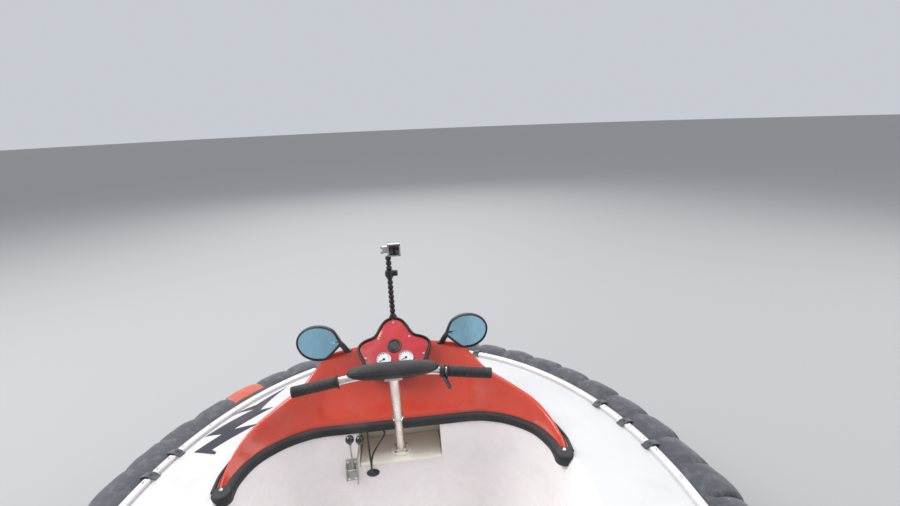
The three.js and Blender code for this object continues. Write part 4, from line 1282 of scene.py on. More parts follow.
@dataclass(frozen=True)
class Cowl:
    """The red cowl that sweeps round the cockpit's front, and its black rubber trim."""

    trim_top: float = 0.527
    hang: float = 0.498
    deck: float = 0.5205
    steps: int = 4

    ROUND = (
        (172, 0.04, -0.014, -0.009, 0.533, 0.016), (166, 0.034, -0.01, 0.001, 0.538, 0.026),
        (158, 0.026, -0.005, 0.013, 0.546, 0.042), (145, 0.018, 0.0, 0.031, 0.565, 0.066),
        (133, 0.016, 0.0, 0.044, 0.586, 0.092), (118, 0.016, 0.0, 0.057, 0.611, 0.135),
        (104, 0.016, 0.0, 0.08, 0.645, 0.2), (97, 0.016, 0.0, 0.12, 0.675, 0.252),
        (90, 0.016, 0.0, 0.168, 0.703, 0.302),
    )  # angle round the corner, trim inside and outside the edge, crest, its height, foot
    MIDDLE = mm(
        (-150, 16, 0, 182, 714, 340), (-75, 16, 0, 190, 722, 360), (0, 16, 0, 192, 724, 366),
    )  # across the straight front: x, then the same five
    STRIP = ((0, 0.0068), (4, 0.006), (8, 0.0048), (12, 0.0034), (15, 0.0012))  # station, the strip's radius

    def stations(self) -> Points:
        """Rows of edge x and y, outward x and y, and the four sizes, from port to starboard."""
        radius = OPENING.front_radius
        x, y = radius - OPENING.half_width, OPENING.front - radius
        half = []
        for degrees, *sizes in self.ROUND:
            out = (cos(radians(degrees)), sin(radians(degrees)))
            half.append((x + out[0] * radius, y + out[1] * radius, *out, *sizes))
        half += [(at, OPENING.front, 0.0, 1.0, *sizes) for at, *sizes in self.MIDDLE]
        other = [(-ex, ey, -ox, oy, *sizes) for ex, ey, ox, oy, *sizes in reversed(half[:-1])]
        return through([*half, *other], self.steps)

    def place(self, station: Row, along: float, z: float) -> Vector:
        """A point so far outside the opening's edge at a station."""
        out = Vector(station[2:4]).normalized() * along
        return xyz(station[0] + out.x, station[1] + out.y, z)

    def build(self) -> None:
        """Makes the cowl, the trim and its screws."""
        bm = bmesh.new()
        loft(bm, [self.cowl_section(s) for s in self.stations()])
        piece(bm, "cowl_moulding", Finish.RED, "cowl", sharp=50)
        bm = bmesh.new()
        loft(bm, [self.trim_section(s) for s in self.stations()])
        for side in (-1, 1):
            self.tail(bm, side)
        piece(bm, "trim_rubber", Finish.RUBBER, "cowl_trim", sharp=50)
        bm = bmesh.new()
        seat = self.place(self.stations()[0], -0.01, 0.5342)
        for side, _ in SIDES:
            screw(bm, xyz(-side * seat.x, seat.y + 0.003, seat.z), 0.006, 0.004)
        piece(bm, "trim_screws", Finish.BRIGHT)

    def cowl_section(self, station: Row) -> list[Vector]:
        """The cowl's section, from the trim over the crest to the foot.

        Args:
            station: The station's row.

        Returns:
            The section's points.
        """
        _, band, crest, height, foot = station[4:]
        low = min(self.trim_top, height - 0.002)
        rise, span, fall, back = height - low, crest - band, height - 0.5, foot - crest
        soft, near = min(1.0, span / 0.06), band + 0.001
        inner = [(near, low), (band + span * 0.45, low + rise * 0.4), (band + span * 0.8, low + rise * 0.84)]
        inner += [(crest - 0.004 * soft, height - 0.003 * soft)]
        outer = [(crest + 0.004 * soft, height), (crest + 0.014 * soft, height - 0.0018 * soft)]
        outer += [(crest + back * 0.3, height - fall * 0.16), (crest + back * 0.72, height - fall * 0.55)]
        outer += [(foot, 0.5)]
        points = [(near, 0.521), *through(inner, 4), *through(outer, 3), (foot - 0.004, 0.495)]
        return [self.place(station, along, z) for along, z in points]

    def trim_section(self, station: Row) -> list[Vector]:
        """The trim's section: a soft strip that hangs over the cockpit's edge.

        Args:
            station: The station's row.

        Returns:
            The section's points.
        """
        lip, band = station[4:6]
        hang, top, deck = self.hang, self.trim_top, self.deck
        points = [(0.0045 - lip, hang), (0.0012 - lip, hang + 0.0008), (-lip, hang + 0.0035)]
        points += [(-lip, 0.514), (0.0012 - lip, 0.519), (0.0045 - lip, 0.5235), (-lip * 0.45, top - 0.0008)]
        points += [(band - 0.003, top), (band + 0.003, top), (band + 0.003, deck), (min(-0.003, band), deck)]
        return [self.place(station, along, z) for along, z in (*points, (-0.0105, hang))]

    def tail(self, bm: Mesh, side: int) -> None:
        """Rounds the trim's tail and carries a thin strip up the cowl's outer side.

        Args:
            bm: The trim's mesh.
            side: -1 for port, 1 for starboard.
        """
        first = self.stations()[0]
        lip, height, foot = first[4], first[7], first[8]
        reach = (foot + lip) / 2
        middle = self.place(first, foot - reach, self.deck)
        top, base = height - self.deck, self.hang - self.deck
        profile = [(0, base), (reach - 0.002, base), (reach - 0.0004, base + 0.002)]
        profile += [(reach + 0.0005, top * 0.35), *arc((reach - 0.008, top - 0.0085), 0.008, 0, 90, 4)]
        profile += [(reach * 0.4, top + 0.0006), (0, top + 0.0008)]
        made = turned(bm, profile, middle, UP, 40)
        rows = []
        for index, radius in self.STRIP:
            station = self.stations()[index]
            rows.append((*self.place(station, station[8] - 0.001, 0.5245 - 0.0006 * index), radius))
        rings = []
        for x, y, z, radius in through(rows, 3):
            out = xyz(x + 0.235, y - 0.675, 0).normalized()
            rings.append([xyz(x, y, z) + out * a + UP * b for a, b in circle(radius, 10)])
        made += loft(bm, rings)
        if side > 0:
            bmesh.ops.scale(bm, vec=(-1, 1, 1), verts=made)


# Dash, mirrors and camera


@dataclass(frozen=True)
class Dash:
    """The shield-shaped panel on the cowl's crest, with two gauges and a switch."""

    origin: Row = (0.0, 1.062, 0.7)
    slope: float = 39.8
    gauge_x: float = 0.039
    gauge_radius: float = 0.026
    switch_y: float = 0.047
    seat: float = 0.0003
    needle: float = -118

    SHIELD = mm(
        (0, -46), (60, -46), (84, -36), (100, -14), (113, 14), (124, 42), (119, 60), (100, 73),
        (74, 82), (58, 98), (44, 124), (26, 146), (0, 156),
    )  # starboard half of the outline: across, and up the slope from the gauges' row
    BOLTS = mm((0, 140), (56, 80), (-56, 80), (103, 10), (-103, 10))
    PANEL = mm((0, -8), (0, -1), (-1.5, 0.5), (-4, 1))  # growth, height
    EDGE = mm(
        (1.5, -8), (1.2, 2), (2.5, 6.2), (5, 7.8), (7.8, 6.2), (9.2, 2), (9, -6), (8.2, -14),
        (7.8, -30), (7, -118),
    )  # the same, for the rubber edge and the walls
    BEZEL = mm((3.5, 7), (3, 9), (1.5, 9.6), (0.3, 8.6), (0, 6.8), (0, 2))
    GLASS = mm((4, 7.2), (3.3, 6.6), (3, 2))  # inside the gauge's radius, height
    PIVOT = mm((0, 9.8), (3.5, 9.4), (4.2, 8), (4.2, 6.8))  # radius, height
    BUTTON = mm(
        (0, 8.8), (12, 8.6), (16.5, 8), (18, 6.2), (19, 6), (20.5, 8.2), (22.5, 9), (25, 8.2),
        (27, 5.8), (27, 1),
    )  # the same, for the round button

    @property
    def where(self) -> Matrix:
        """The panel's frame: X across, Y up the slope and Z out of its face."""
        return Matrix.Translation(self.origin) @ Matrix.Rotation(radians(self.slope), 4, "X")

    def outline(self, grow: float = 0.0) -> list[Vector]:
        """The shield's smooth outline in the panel's own plane.

        Args:
            grow: How far outside the shield it lies.

        Returns:
            The outline's points.
        """
        half = through(self.SHIELD, 3)
        points = [*half, *((-x, y) for x, y in reversed(half[1:-1]))]
        grown = []
        for i, (x, y) in enumerate(points):
            along = (Vector(points[(i + 1) % len(points)]) - Vector(points[i - 1])).normalized()
            grown.append(xyz(x + along.y * grow, y - along.x * grow, 0))
        return grown

    def rings(self, rows: Sequence[Row]) -> list[list[Vector]]:
        """Rings of the outline from rows of (grow, height)."""
        return [[p + UP * z for p in self.outline(grow)] for grow, z in rows]

    def build(self) -> None:
        """Makes the panel, its edge, the gauges and the button above them."""
        self.panel()
        bm = bmesh.new()
        loft(bm, self.rings(self.EDGE), capped=False)
        piece(bm, "dash_edge", Finish.RUBBER, "dash_housing", sharp=60, where=self.where)
        for side, name in SIDES:
            self.gauge(side * self.gauge_x, name)
        bm = bmesh.new()
        turned(bm, self.BUTTON, xyz(0, self.switch_y, self.seat), UP, 48)
        piece(bm, "dash_button", Finish.PLASTIC, "dash_switch", where=self.where)

    def panel(self) -> None:
        """Makes the red panel, bulged between its screws, and the screws."""
        bm = bmesh.new()
        loft(bm, self.rings(self.PANEL), capped=False)
        centre, top = xyz(0, 0.03, 0), self.PANEL[-1][1]
        rings = []
        for share in (1.0, 0.94, 0.86, 0.74, 0.58, 0.4, 0.2):
            ring = []
            for p in self.outline(self.PANEL[-1][0]):
                spot = centre.lerp(p, share)
                bulge = 0.005 * (1 - share**3) + 0.0026 * noise.noise(spot * 34)
                ring.append(spot + UP * (top + bulge if share < 1 else top))
            rings.append(ring)
        loft(bm, rings, capped=False)
        bmesh.ops.remove_doubles(bm, verts=bm.verts, dist=1e-5)
        close(bm)
        piece(bm, "dash_moulding", Finish.SHIELD, "dash_panel", where=self.where)
        bm = bmesh.new()
        for x, y in self.BOLTS:
            screw(bm, xyz(x, y, top), 0.0055, 0.0045)
        piece(bm, "dash_screws", Finish.BRIGHT, where=self.where)

    def gauge(self, x: float, name: str) -> None:
        """Makes one round gauge.

        Args:
            x: How far across it sits.
            name: Its side.
        """
        radius, here = self.gauge_radius, xyz(x, 0, self.seat)
        bm = bmesh.new()
        turned(bm, [(radius - inside, z) for inside, z in self.BEZEL], here, UP, 48)
        piece(bm, "gauge_bezel_" + name, Finish.ALLOY, "gauge_" + name, where=self.where)
        bm = bmesh.new()
        turned(bm, [(0, 0.0074), *((radius - inside, z) for inside, z in self.GLASS)], here, UP, 48)
        piece(bm, "gauge_face_" + name, Finish.DIAL, where=self.where)
        bm = bmesh.new()
        for k in range(11):
            turn = radians(26 * k - 130)
            reach = xyz(sin(turn), cos(turn), 0) * radius
            mark = here + UP * 0.0071
            bar(bm, mark + reach * 0.62, mark + reach * 0.8, 0.0006 if k % 5 else 0.001, 6)
        turn, hand = radians(self.needle), here + UP * 0.0084
        bar(bm, hand, hand + xyz(sin(turn), cos(turn), 0) * radius * 0.7, 0.001, 6)
        turned(bm, self.PIVOT, here, UP, 20)
        piece(bm, "gauge_marks_" + name, Finish.MARK, where=self.where)


@dataclass(frozen=True)
class Mirrors:
    """Two teardrop mirrors on short stalks, one to each side of the dash."""

    x: float = 0.266
    y: float = 1.112
    z: float = 0.763
    half_width: float = 0.076
    half_height: float = 0.064
    tip: Row = (0.08, -0.012)
    foot: Row = (0.1, 0.026, -0.07)
    chin: float = 1.13

    SHELL = mm(
        (7.4, 3.5, 1.8), (6.8, -1, 1.6), (3.8, -2.8, 1), (1, -1.6, 0), (0, 2, 0), (0, 11, 0),
        (3, 19, 0), (10, 28, 0), (20, 35, 0), (32, 40, 0), (44, 42, 0),
    )  # inset from the outline, distance forward, rise
    FACE = mm(
        (7.2, 3, 1.8), (7.2, 0.2, 1.8), (7.6, 0, 1.8), (38, -0.3, 1),
    )  # the same, for the glass
    FOOT = mm((0, 20), (9.5, 20), (12.5, 12), (17.5, 2), (19, -10), (0, -10))
    DROP = (32, 52, 75, 100, 125, 150, 175, 200, 225, 250, 272, 290)  # angles round the outer end

    def outline(self, inset: float) -> Points:
        """The teardrop for the port mirror, with its tip towards the dash.

        Args:
            inset: How far inside the mirror's edge it lies.

        Returns:
            The outline's points.
        """
        wide, high = self.half_width - inset, self.half_height - inset
        x, z = self.tip[0] - inset * 1.5, self.tip[1] + inset * 0.15
        rows = [(x - 0.004, z - 0.006), (x, z), (x - 0.003, z + 0.008)]
        for degrees in self.DROP:
            turn = radians(degrees)
            deep = high * (self.chin if degrees > 180 else 1.0)
            rows.append((wide * cos(turn) - 0.004, deep * sin(turn)))
        return through([*rows, rows[0]], 4)[:-1]

    def rings(self, rows: Sequence[Row]) -> list[list[Vector]]:
        """Rings of the outline from rows of (inset, distance forward, rise)."""
        return [[xyz(x, y, z + rise) for x, z in self.outline(inset)] for inset, y, rise in rows]

    def build(self) -> None:
        """Makes both mirrors."""
        for side, name in SIDES:
            where = Matrix.Translation((side * self.x, self.y, self.z)) @ Matrix.Diagonal((-side, 1, 1, 1))
            bm = bmesh.new()
            loft(bm, self.rings(self.SHELL), capped=False)
            close(bm, lambda spot: spot.y > 0.03)
            self.stalk(bm)
            piece(bm, "mirror_shell_" + name, Finish.SHELL, "mirror_" + name, sharp=50, where=where)
            bm = bmesh.new()
            loft(bm, self.rings(self.FACE))
            piece(bm, "mirror_face_" + name, Finish.MIRROR, "mirror_glass_" + name, sharp=20, where=where)

    def stalk(self, bm: Mesh) -> None:
        """Adds the stalk, its ball joint and its foot on the cowl.

        Args:
            bm: The mirror's mesh.
        """
        top, foot = xyz(self.tip[0] - 0.018, 0.014, self.tip[1] + 0.008), Vector(self.foot)
        path = curve([top, top.lerp(foot, 0.5) + UP * 0.004, foot], 4)
        sweep(bm, circle(0.01, 14), path, FORWARD)
        ball = bmesh.ops.create_uvsphere(bm, u_segments=20, v_segments=12, radius=0.0135)["verts"]
        bmesh.ops.translate(bm, verts=ball, vec=top)
        turned(bm, self.FOOT, foot, UP, 24)


@dataclass(frozen=True)
class CameraArm:
    """A flexible beaded arm on the dash's peak, which holds a small camera."""

    y: float = 1.192
    foot: float = 0.802
    top: float = 1.046
    beads: int = 13
    knob: float = 0.978
    case_x: float = 0.01
    clamp_width: float = 0.026
    width: float = 0.07
    depth: float = 0.032
    height: float = 0.046

    BEAD = ((0.0056, 0), (0.0098, 0.2), (0.0104, 0.5), (0.0098, 0.8), (0.0056, 0.97))
    COLLAR = mm((0, 0), (13, 0), (13, 6), (10, 12), (0, 12))
    CLAMP = mm(
        (6, -16), (13, -14), (16, -8), (16.5, 4), (14, 12), (6, 15),
    )
    SCREW = mm(
        (0, 0), (6, 0), (6, 12), (9.5, 13), (11, 16), (11, 27), (9, 30), (0, 30),
    )
    LENS = mm((0, 6), (8, 5.8), (10.5, 4), (11, 0), (11, -4))

    def build(self) -> None:
        """Makes the arm, its clamp and the camera."""
        bm = bmesh.new()
        tall = self.top - self.foot
        pitch = tall / self.beads
        foot, clamp = xyz(0, self.y, self.foot), xyz(0, self.y, self.knob)
        beads = [(radius, (k + share) * pitch) for k in range(self.beads) for radius, share in self.BEAD]
        turned(bm, [(0, 0), *beads, (0.0056, tall), (0, tall)], foot, UP, 24)
        turned(bm, self.CLAMP, clamp, UP, 28)
        turned(bm, self.SCREW, clamp, xyz(1, 0, 0), 24)
        block(bm, (-0.016, self.y - 0.012, 0.77), (0.016, self.y + 0.012, self.foot + 0.003), 0.004, 3)
        turned(bm, self.COLLAR, foot, UP, 24)
        piece(bm, "flexible_arm", Finish.PLASTIC, "camera_arm", sharp=50)
        self.camera()

    def camera(self) -> None:
        """Makes the camera: a dark case in a grey frame, its screen facing aft."""
        half, y = self.width / 2, self.y
        low = xyz(self.case_x - half, y - self.depth / 2, self.top + 0.0003)
        high = xyz(self.case_x + half, y + self.depth / 2, low.z + self.height)
        left = low.x + self.clamp_width
        bm = bmesh.new()
        block(bm, (left, low.y, low.z), high, 0.005, 4)
        screen = (left + 0.005, low.y - 0.0012, low.z + 0.006)
        block(bm, screen, (high.x - 0.005, low.y + 0.002, high.z - 0.006), 0.001)
        lens = xyz(high.x - 0.016, high.y - 0.006, self.top + self.height * 0.6)
        turned(bm, self.LENS, lens, FORWARD, 32)
        piece(bm, "camera_case", Finish.LENS, "action_camera")
        bm = bmesh.new()
        aft, fore = low.y - 0.0016, low.y + 0.012
        for z in (low.z + 0.002, high.z - 0.0024):
            block(bm, (left - 0.001, aft, z - 0.0022), (high.x + 0.001, fore, z + 0.0026), 0.0008)
        for x in (left + 0.0014, high.x - 0.0014):
            block(bm, (x - 0.0026, aft, low.z), (x + 0.0026, fore, high.z), 0.0008)
        block(bm, low + xyz(0.006, 0.006, 0.012), (left, high.y - 0.006, high.z - 0.01), 0.003, 3)
        for z in (low.z + 0.014, high.z - 0.014):
            bar(bm, xyz(low.x, y, z), xyz(low.x + 0.009, y, z), 0.006, 20, 0.001)
        piece(bm, "camera_frame", Finish.ALLOY)


# Column, handlebar and levers


@dataclass(frozen=True)
class Steering:
    """The steel column, and the handlebar with grips, a padded roll and a thumb throttle."""

    foot: Row = (0.0, 0.955, 0.4)
    head: Row = (0.0, 0.845, 0.775)
    radius: float = 0.012
    sleeve: float = 0.015
    stem: float = 0.017
    joint: float = 0.184
    clamp_half: float = 0.09
    end: Row = (0.295, 0.819, 0.76)
    knee: Row = (0.14009, 0.8402, 0.77223)
    ribs: int = 22
    roll_half: float = 0.141

    COLLAR = mm((14.5, 0), (16.8, 1), (17.4, 3), (17.4, 13), (15, 15))
    FLANGE = mm((0, 0), (34, 0), (34, 6), (32.5, 7.7), (0, 7.7))
    WELD = mm((14.5, 0), (18, 0), (17.8, 2), (16.5, 4), (14.5, 5))
    GRIP = mm((12.2, 0), (22.5, 0.4), (23.2, 2.5), (20, 5), (16, 6))
    RIB = ((0.0156, 0), (0.017, 0.25), (0.017, 0.65), (0.0156, 0.9))
    RING = mm((12.2, 0), (18.5, 0), (20, 1.5), (20, 16.5), (18.5, 18), (12.2, 18))
    LEVER = mm((10, -8, -8), (16, -26, -17), (22, -42, -25), (26, -52, -30))

    @property
    def axis(self) -> Vector:
        """The column's direction, from its foot to its head."""
        return (Vector(self.head) - Vector(self.foot)).normalized()

    @property
    def length(self) -> float:
        """The column's length."""
        return (Vector(self.head) - Vector(self.foot)).length

    @property
    def along(self) -> Vector:
        """The handlebar's direction through the starboard grip."""
        return (Vector(self.end) - Vector(self.knee)).normalized()

    def on_column(self, along: float) -> Vector:
        """A point on the column's axis."""
        return Vector(self.foot) + self.axis * along

    def bar_path(self) -> list[Vector]:
        """The handlebar's middle line from port to starboard."""
        _, y, z = self.head
        inner, bend = xyz(self.clamp_half - 0.01, y, z), xyz(self.clamp_half + 0.015, y, z)
        knee, end = Vector(self.knee), Vector(self.end)
        half = []
        for t in (0, 0.2, 0.4, 0.6, 0.8, 1):
            half.append(inner * (1 - t) ** 2 + bend * (2 * t * (1 - t)) + knee * t**2)
        half += [knee.lerp(end, t) for t in (0.33, 0.66, 1)]
        return [*(xyz(-p.x, p.y, p.z) for p in reversed(half)), *half]

    def build(self) -> None:
        """Makes the column and everything that turns with it."""
        self.column()
        bm = bmesh.new()
        sweep(bm, circle(self.radius, 24), self.bar_path())
        piece(bm, "handlebar_tube", Finish.STEEL, "handlebar", "steering")
        bm = bmesh.new()
        brick(bm, self.on_column(self.length) - UP * 0.006, (0.028, 0.019, 0.01), 0.004, 3)
        piece(bm, "head_clamp", Finish.ALLOY, body="steering")
        for side, name in SIDES:
            self.grip(side, name)
        self.pad()
        self.throttle()

    def column(self) -> None:
        """Makes the fixed sleeve with its flange and weld, and the turning stem."""
        bm = bmesh.new()
        bar(bm, self.on_column(0.004), self.on_column(self.joint), self.sleeve, 32, 0.001)
        turned(bm, self.COLLAR, self.on_column(self.joint - 0.018), self.axis, 32)
        piece(bm, "column_tube", Finish.STEEL, "column_sleeve")
        flange, heads = bmesh.new(), bmesh.new()
        seat = xyz(0, self.foot[1], 0.4003)
        turned(flange, self.FLANGE, seat, UP, 40)
        for x, y in arc((0, 0), 0.027, 45, 315, 3):
            screw(heads, seat + xyz(x, y, 0.0077), 0.004, 0.002)
        piece(flange, "column_flange", Finish.CREAM_LIT)
        piece(heads, "column_screws", Finish.PLATE)
        bm = bmesh.new()
        turned(bm, self.WELD, self.on_column(0.007), self.axis, 32)
        piece(bm, "column_weld", Finish.STEEL)
        bm = bmesh.new()
        low, high = self.on_column(self.joint + 0.001), self.on_column(self.length + 0.002)
        bar(bm, low, high, self.stem, 32, 0.0015)
        piece(bm, "stem_tube", Finish.STEEL, "steering_stem", "steering")

    def grip(self, side: int, name: str) -> None:
        """Makes one ribbed rubber grip with a flange.

        Args:
            side: -1 for port, 1 for starboard.
            name: Its side's name.
        """
        start = Vector(self.knee) + self.along * 0.024
        length = (Vector(self.end) - start).length + 0.006
        pitch = (length - 0.02) / self.ribs
        ribs = [(r, 0.008 + (k + share) * pitch) for k in range(self.ribs) for r, share in self.RIB]
        tip = [(0.0166, length - 0.011), (0.0172, length - 0.006), (0.015, length - 0.0008), (0, length)]
        bm = bmesh.new()
        turned(bm, [*self.GRIP, *ribs, *tip], start, self.along, 32)
        bmesh.ops.scale(bm, vec=(side, 1, 1), verts=bm.verts)
        piece(bm, "grip_rubber_" + name, Finish.RUBBER, "grip_" + name, "steering", sharp=60)

    def fullness(self, share: float) -> float:
        """How full the roll is at a share of its half length."""
        return max(1 - abs(share) ** 3.2, 0.0) ** 0.5

    def pad(self) -> None:
        """Makes the padded roll over the middle of the bar, with a welt along it."""
        middle = Vector(self.head) + UP * 0.012
        rings = []
        for k in range(57):
            share = k / 28 - 1
            full = self.fullness(share)
            pucker = 0.01 * sin(k * 2.1) * (1 - full)
            pucker += 0.018 * noise.noise(xyz(share * 3.1, 0.4, 2.2))
            ring = []
            for turn in [tau * j / 32 for j in range(32)]:
                soft = full * (1 + pucker) * (1 - 0.05 * exp(-(((turn - 1.5 * pi) / 0.35) ** 2)))
                y, z = 0.03 * soft * cos(turn), 0.0245 * soft * sin(turn)
                ring.append(middle + xyz(share * self.roll_half, y, z))
            rings.append(ring)
        bm = bmesh.new()
        loft(bm, rings)
        obj = piece(bm, "padded_roll", Finish.VINYL, "handlebar_pad", "steering", sharp=80)
        line = []
        for k in range(41):
            share = 0.047 * k - 0.94
            full = self.fullness(share)
            line.append(middle + xyz(share * self.roll_half, -0.0288 * full, 0.006 * full))
        bm = bmesh.new()
        sweep(bm, circle(0.0016, 8), line)
        piece(bm, "roll_welt", Finish.VINYL, body="steering")

    def throttle(self) -> None:
        """Makes the throttle's clamp ring and thumb lever by the starboard grip."""
        start = Vector(self.knee) + self.along * 0.002
        bm = bmesh.new()
        turned(bm, self.RING, start, self.along, 32)
        section = [(x * 1.35, y) for x, y in circle(0.0046, 12)]
        sweep(bm, section, [start + p for p in curve(self.LEVER, 4)])
        piece(bm, "thumb_throttle", Finish.PLASTIC, "throttle_lever", "steering", sharp=50)


@dataclass(frozen=True)
class Levers:
    """Two ball-topped levers on a steel plate, and the cables beside them."""

    x: float = -0.168
    z: float = 0.383
    width: float = 0.039
    height: float = 0.076
    lever_feet: Row = (-0.163, -0.155)
    grommet: Row = (-0.099, 0.362)

    KNOBS = mm((-164, 901, 508), (-131, 901, 503))
    CABLES = mm((-109, -104), (-54, -92))  # x at the top and halfway
    NECK = mm((0, -17), (5.5, -17), (6, -12), (8.5, -9.5))
    GROMMET = mm(
        (0, 7.5), (7.7, 7.8), (12.1, 6.2), (13.64, 5), (17.16, 5.6), (20.24, 4.4), (22, 2), (22, 0),
    )

    @property
    def tilt(self) -> float:
        """How far the wall leans, in radians."""
        return atan2(OPENING.front_wall(0.42) - OPENING.front_wall(0.3), 0.12)

    def build(self) -> None:
        """Makes the plate, the levers and the cables."""
        self.bracket()
        self.levers()
        self.cables()

    def bracket(self) -> None:
        """Makes the folded steel plate with its two raised flanges and its bolts."""
        wall = OPENING.front_wall(self.z) - 0.0085
        turn = Matrix.Rotation(pi / 2 - self.tilt, 4, "X")
        where = Matrix.Translation((self.x, wall, self.z)) @ turn
        wide, high = self.width / 2, self.height / 2
        bm = bmesh.new()
        plate(bm, rectangle(-wide, -high, wide, high), where, -0.002, 0.002, 0.003, 0.0006)
        for x, low, top in ((0.0015 - wide, -0.85, 0.6), (wide - 0.0015, -1.25, 0.9)):
            fin = rectangle(x - 0.0014, high * low, x + 0.0014, high * top)
            plate(bm, fin, where, 0.002, 0.016, 0, 0.0004)
        piece(bm, "lever_plate", Finish.PLATE, "control_levers")
        bm = bmesh.new()
        for x, y in rectangle(-0.012, -0.03, 0.012, 0.03):
            bolt(bm, xyz(x, y, 0.002), UP, 0.0032)
        bar(bm, xyz(-wide, 0.004, 0.009), xyz(wide, 0.004, 0.009), 0.0022, 12)
        piece(bm, "lever_bolts", Finish.BRIGHT, where=where)

    def levers(self) -> None:
        """Makes the two rods and their ball knobs."""
        rods, balls = bmesh.new(), bmesh.new()
        for foot_x, knob in zip(self.lever_feet, self.KNOBS):
            foot = xyz(foot_x, OPENING.front_wall(0.38) - 0.014, 0.38)
            top = Vector(knob)
            bend = foot.lerp(top, 0.55) - FORWARD * 0.003
            sweep(rods, circle(0.003, 12), curve([foot, bend, top], 6), FORWARD)
            turned(balls, [*self.NECK, *arc((0, 0), 0.0145, -50, 90, 14)], top, top - bend, 32)
        piece(rods, "lever_rods", Finish.PLATE)
        piece(balls, "lever_knobs", Finish.KNOB, sharp=60)

    def cables(self) -> None:
        """Makes the two cables from the trim's edge to the grommet in the wall."""
        x, z = self.grommet
        wall = OPENING.front_wall(z)
        bm = bmesh.new()
        for top_x, middle_x in self.CABLES:
            rows = [(top_x, 0.9405, 0.4972), (top_x, 0.938, 0.482), (middle_x, 0.904, 0.44)]
            rows += [(x - 0.002, 0.892, 0.398), (x, wall - 0.012, z + 0.004)]
            sweep(bm, circle(0.003, 10), curve(rows, 8), FORWARD)
        made = turned(bm, self.GROMMET, xyz(0, 0, 0), UP, 36)
        out = xyz(0, -cos(self.tilt), sin(self.tilt))
        turn = out.to_track_quat("Z", "Y").to_matrix().to_4x4() @ Matrix.Diagonal((1, 0.62, 1, 1))
        bmesh.ops.transform(bm, matrix=Matrix.Translation((x, wall - 0.006, z)) @ turn, verts=made)
        piece(bm, "cable_run", Finish.PLASTIC, "control_cables", sharp=50)


# Seat


def evaluated(obj: bpy.types.Object) -> bpy.types.Object:
    """The object as its modifiers leave it."""
    return obj.evaluated_get(bpy.context.evaluated_depsgraph_get())


def outer_ring(half: float, ends: Row, radius: float, z: float) -> list[Vector]:
    """A level box outline with round corners, as points at a height."""
    return [xyz(x, y, z) for x, y in rounded(half, ends, (radius, radius), 6)]


def swell(obj: bpy.types.Object, voxel: float, cap: float) -> None:
    """Puffs a pad up with air held in by cloth, as foam fills its cover.

    Args:
        obj: The pad, a closed mesh at the origin.
        voxel: The size of the even mesh that the cloth starts from.
        cap: The furthest that any point may move.
    """
    remesh = obj.modifiers.new("even", "REMESH")
    remesh.mode = "VOXEL"
    remesh.voxel_size = voxel
    even = bpy.data.meshes.new_from_object(evaluated(obj))
    obj.modifiers.clear()
    obj.data = even
    before = [v.co.copy() for v in even.vertices]
    cloth = obj.modifiers.new("cover", "CLOTH")
    cloth.settings.use_pressure = True
    cloth.settings.uniform_pressure_force = 4
    cloth.settings.effector_weights.gravity = 0
    for step in range(1, 21):
        bpy.context.scene.frame_set(step)
    blown = evaluated(obj).to_mesh()
    after = [v.co.copy() for v in blown.vertices]
    obj.modifiers.clear()
    bpy.context.scene.frame_set(1)
    for v, old, new in zip(obj.data.vertices, before, after):
        move = new - old
        v.co = old + move * min(1.0, cap / max(move.length, 1e-9))
    for face in obj.data.polygons:
        face.use_smooth = True


def seam(obj: bpy.types.Object, line: Ring, radius: float, name: str) -> None:
    """Lays a sewn welt on a pad's surface.

    Args:
        obj: The pad.
        line: The welt's points, near the surface.
        radius: The welt's radius.
        name: The welt's name.
    """
    snapped = [obj.closest_point_on_mesh(p)[1] for p in line]
    bm = bmesh.new()
    sweep(bm, circle(radius, 8), snapped, looped=(line[0] - line[-1]).length < TINY)
    piece(bm, name, Finish.VINYL)


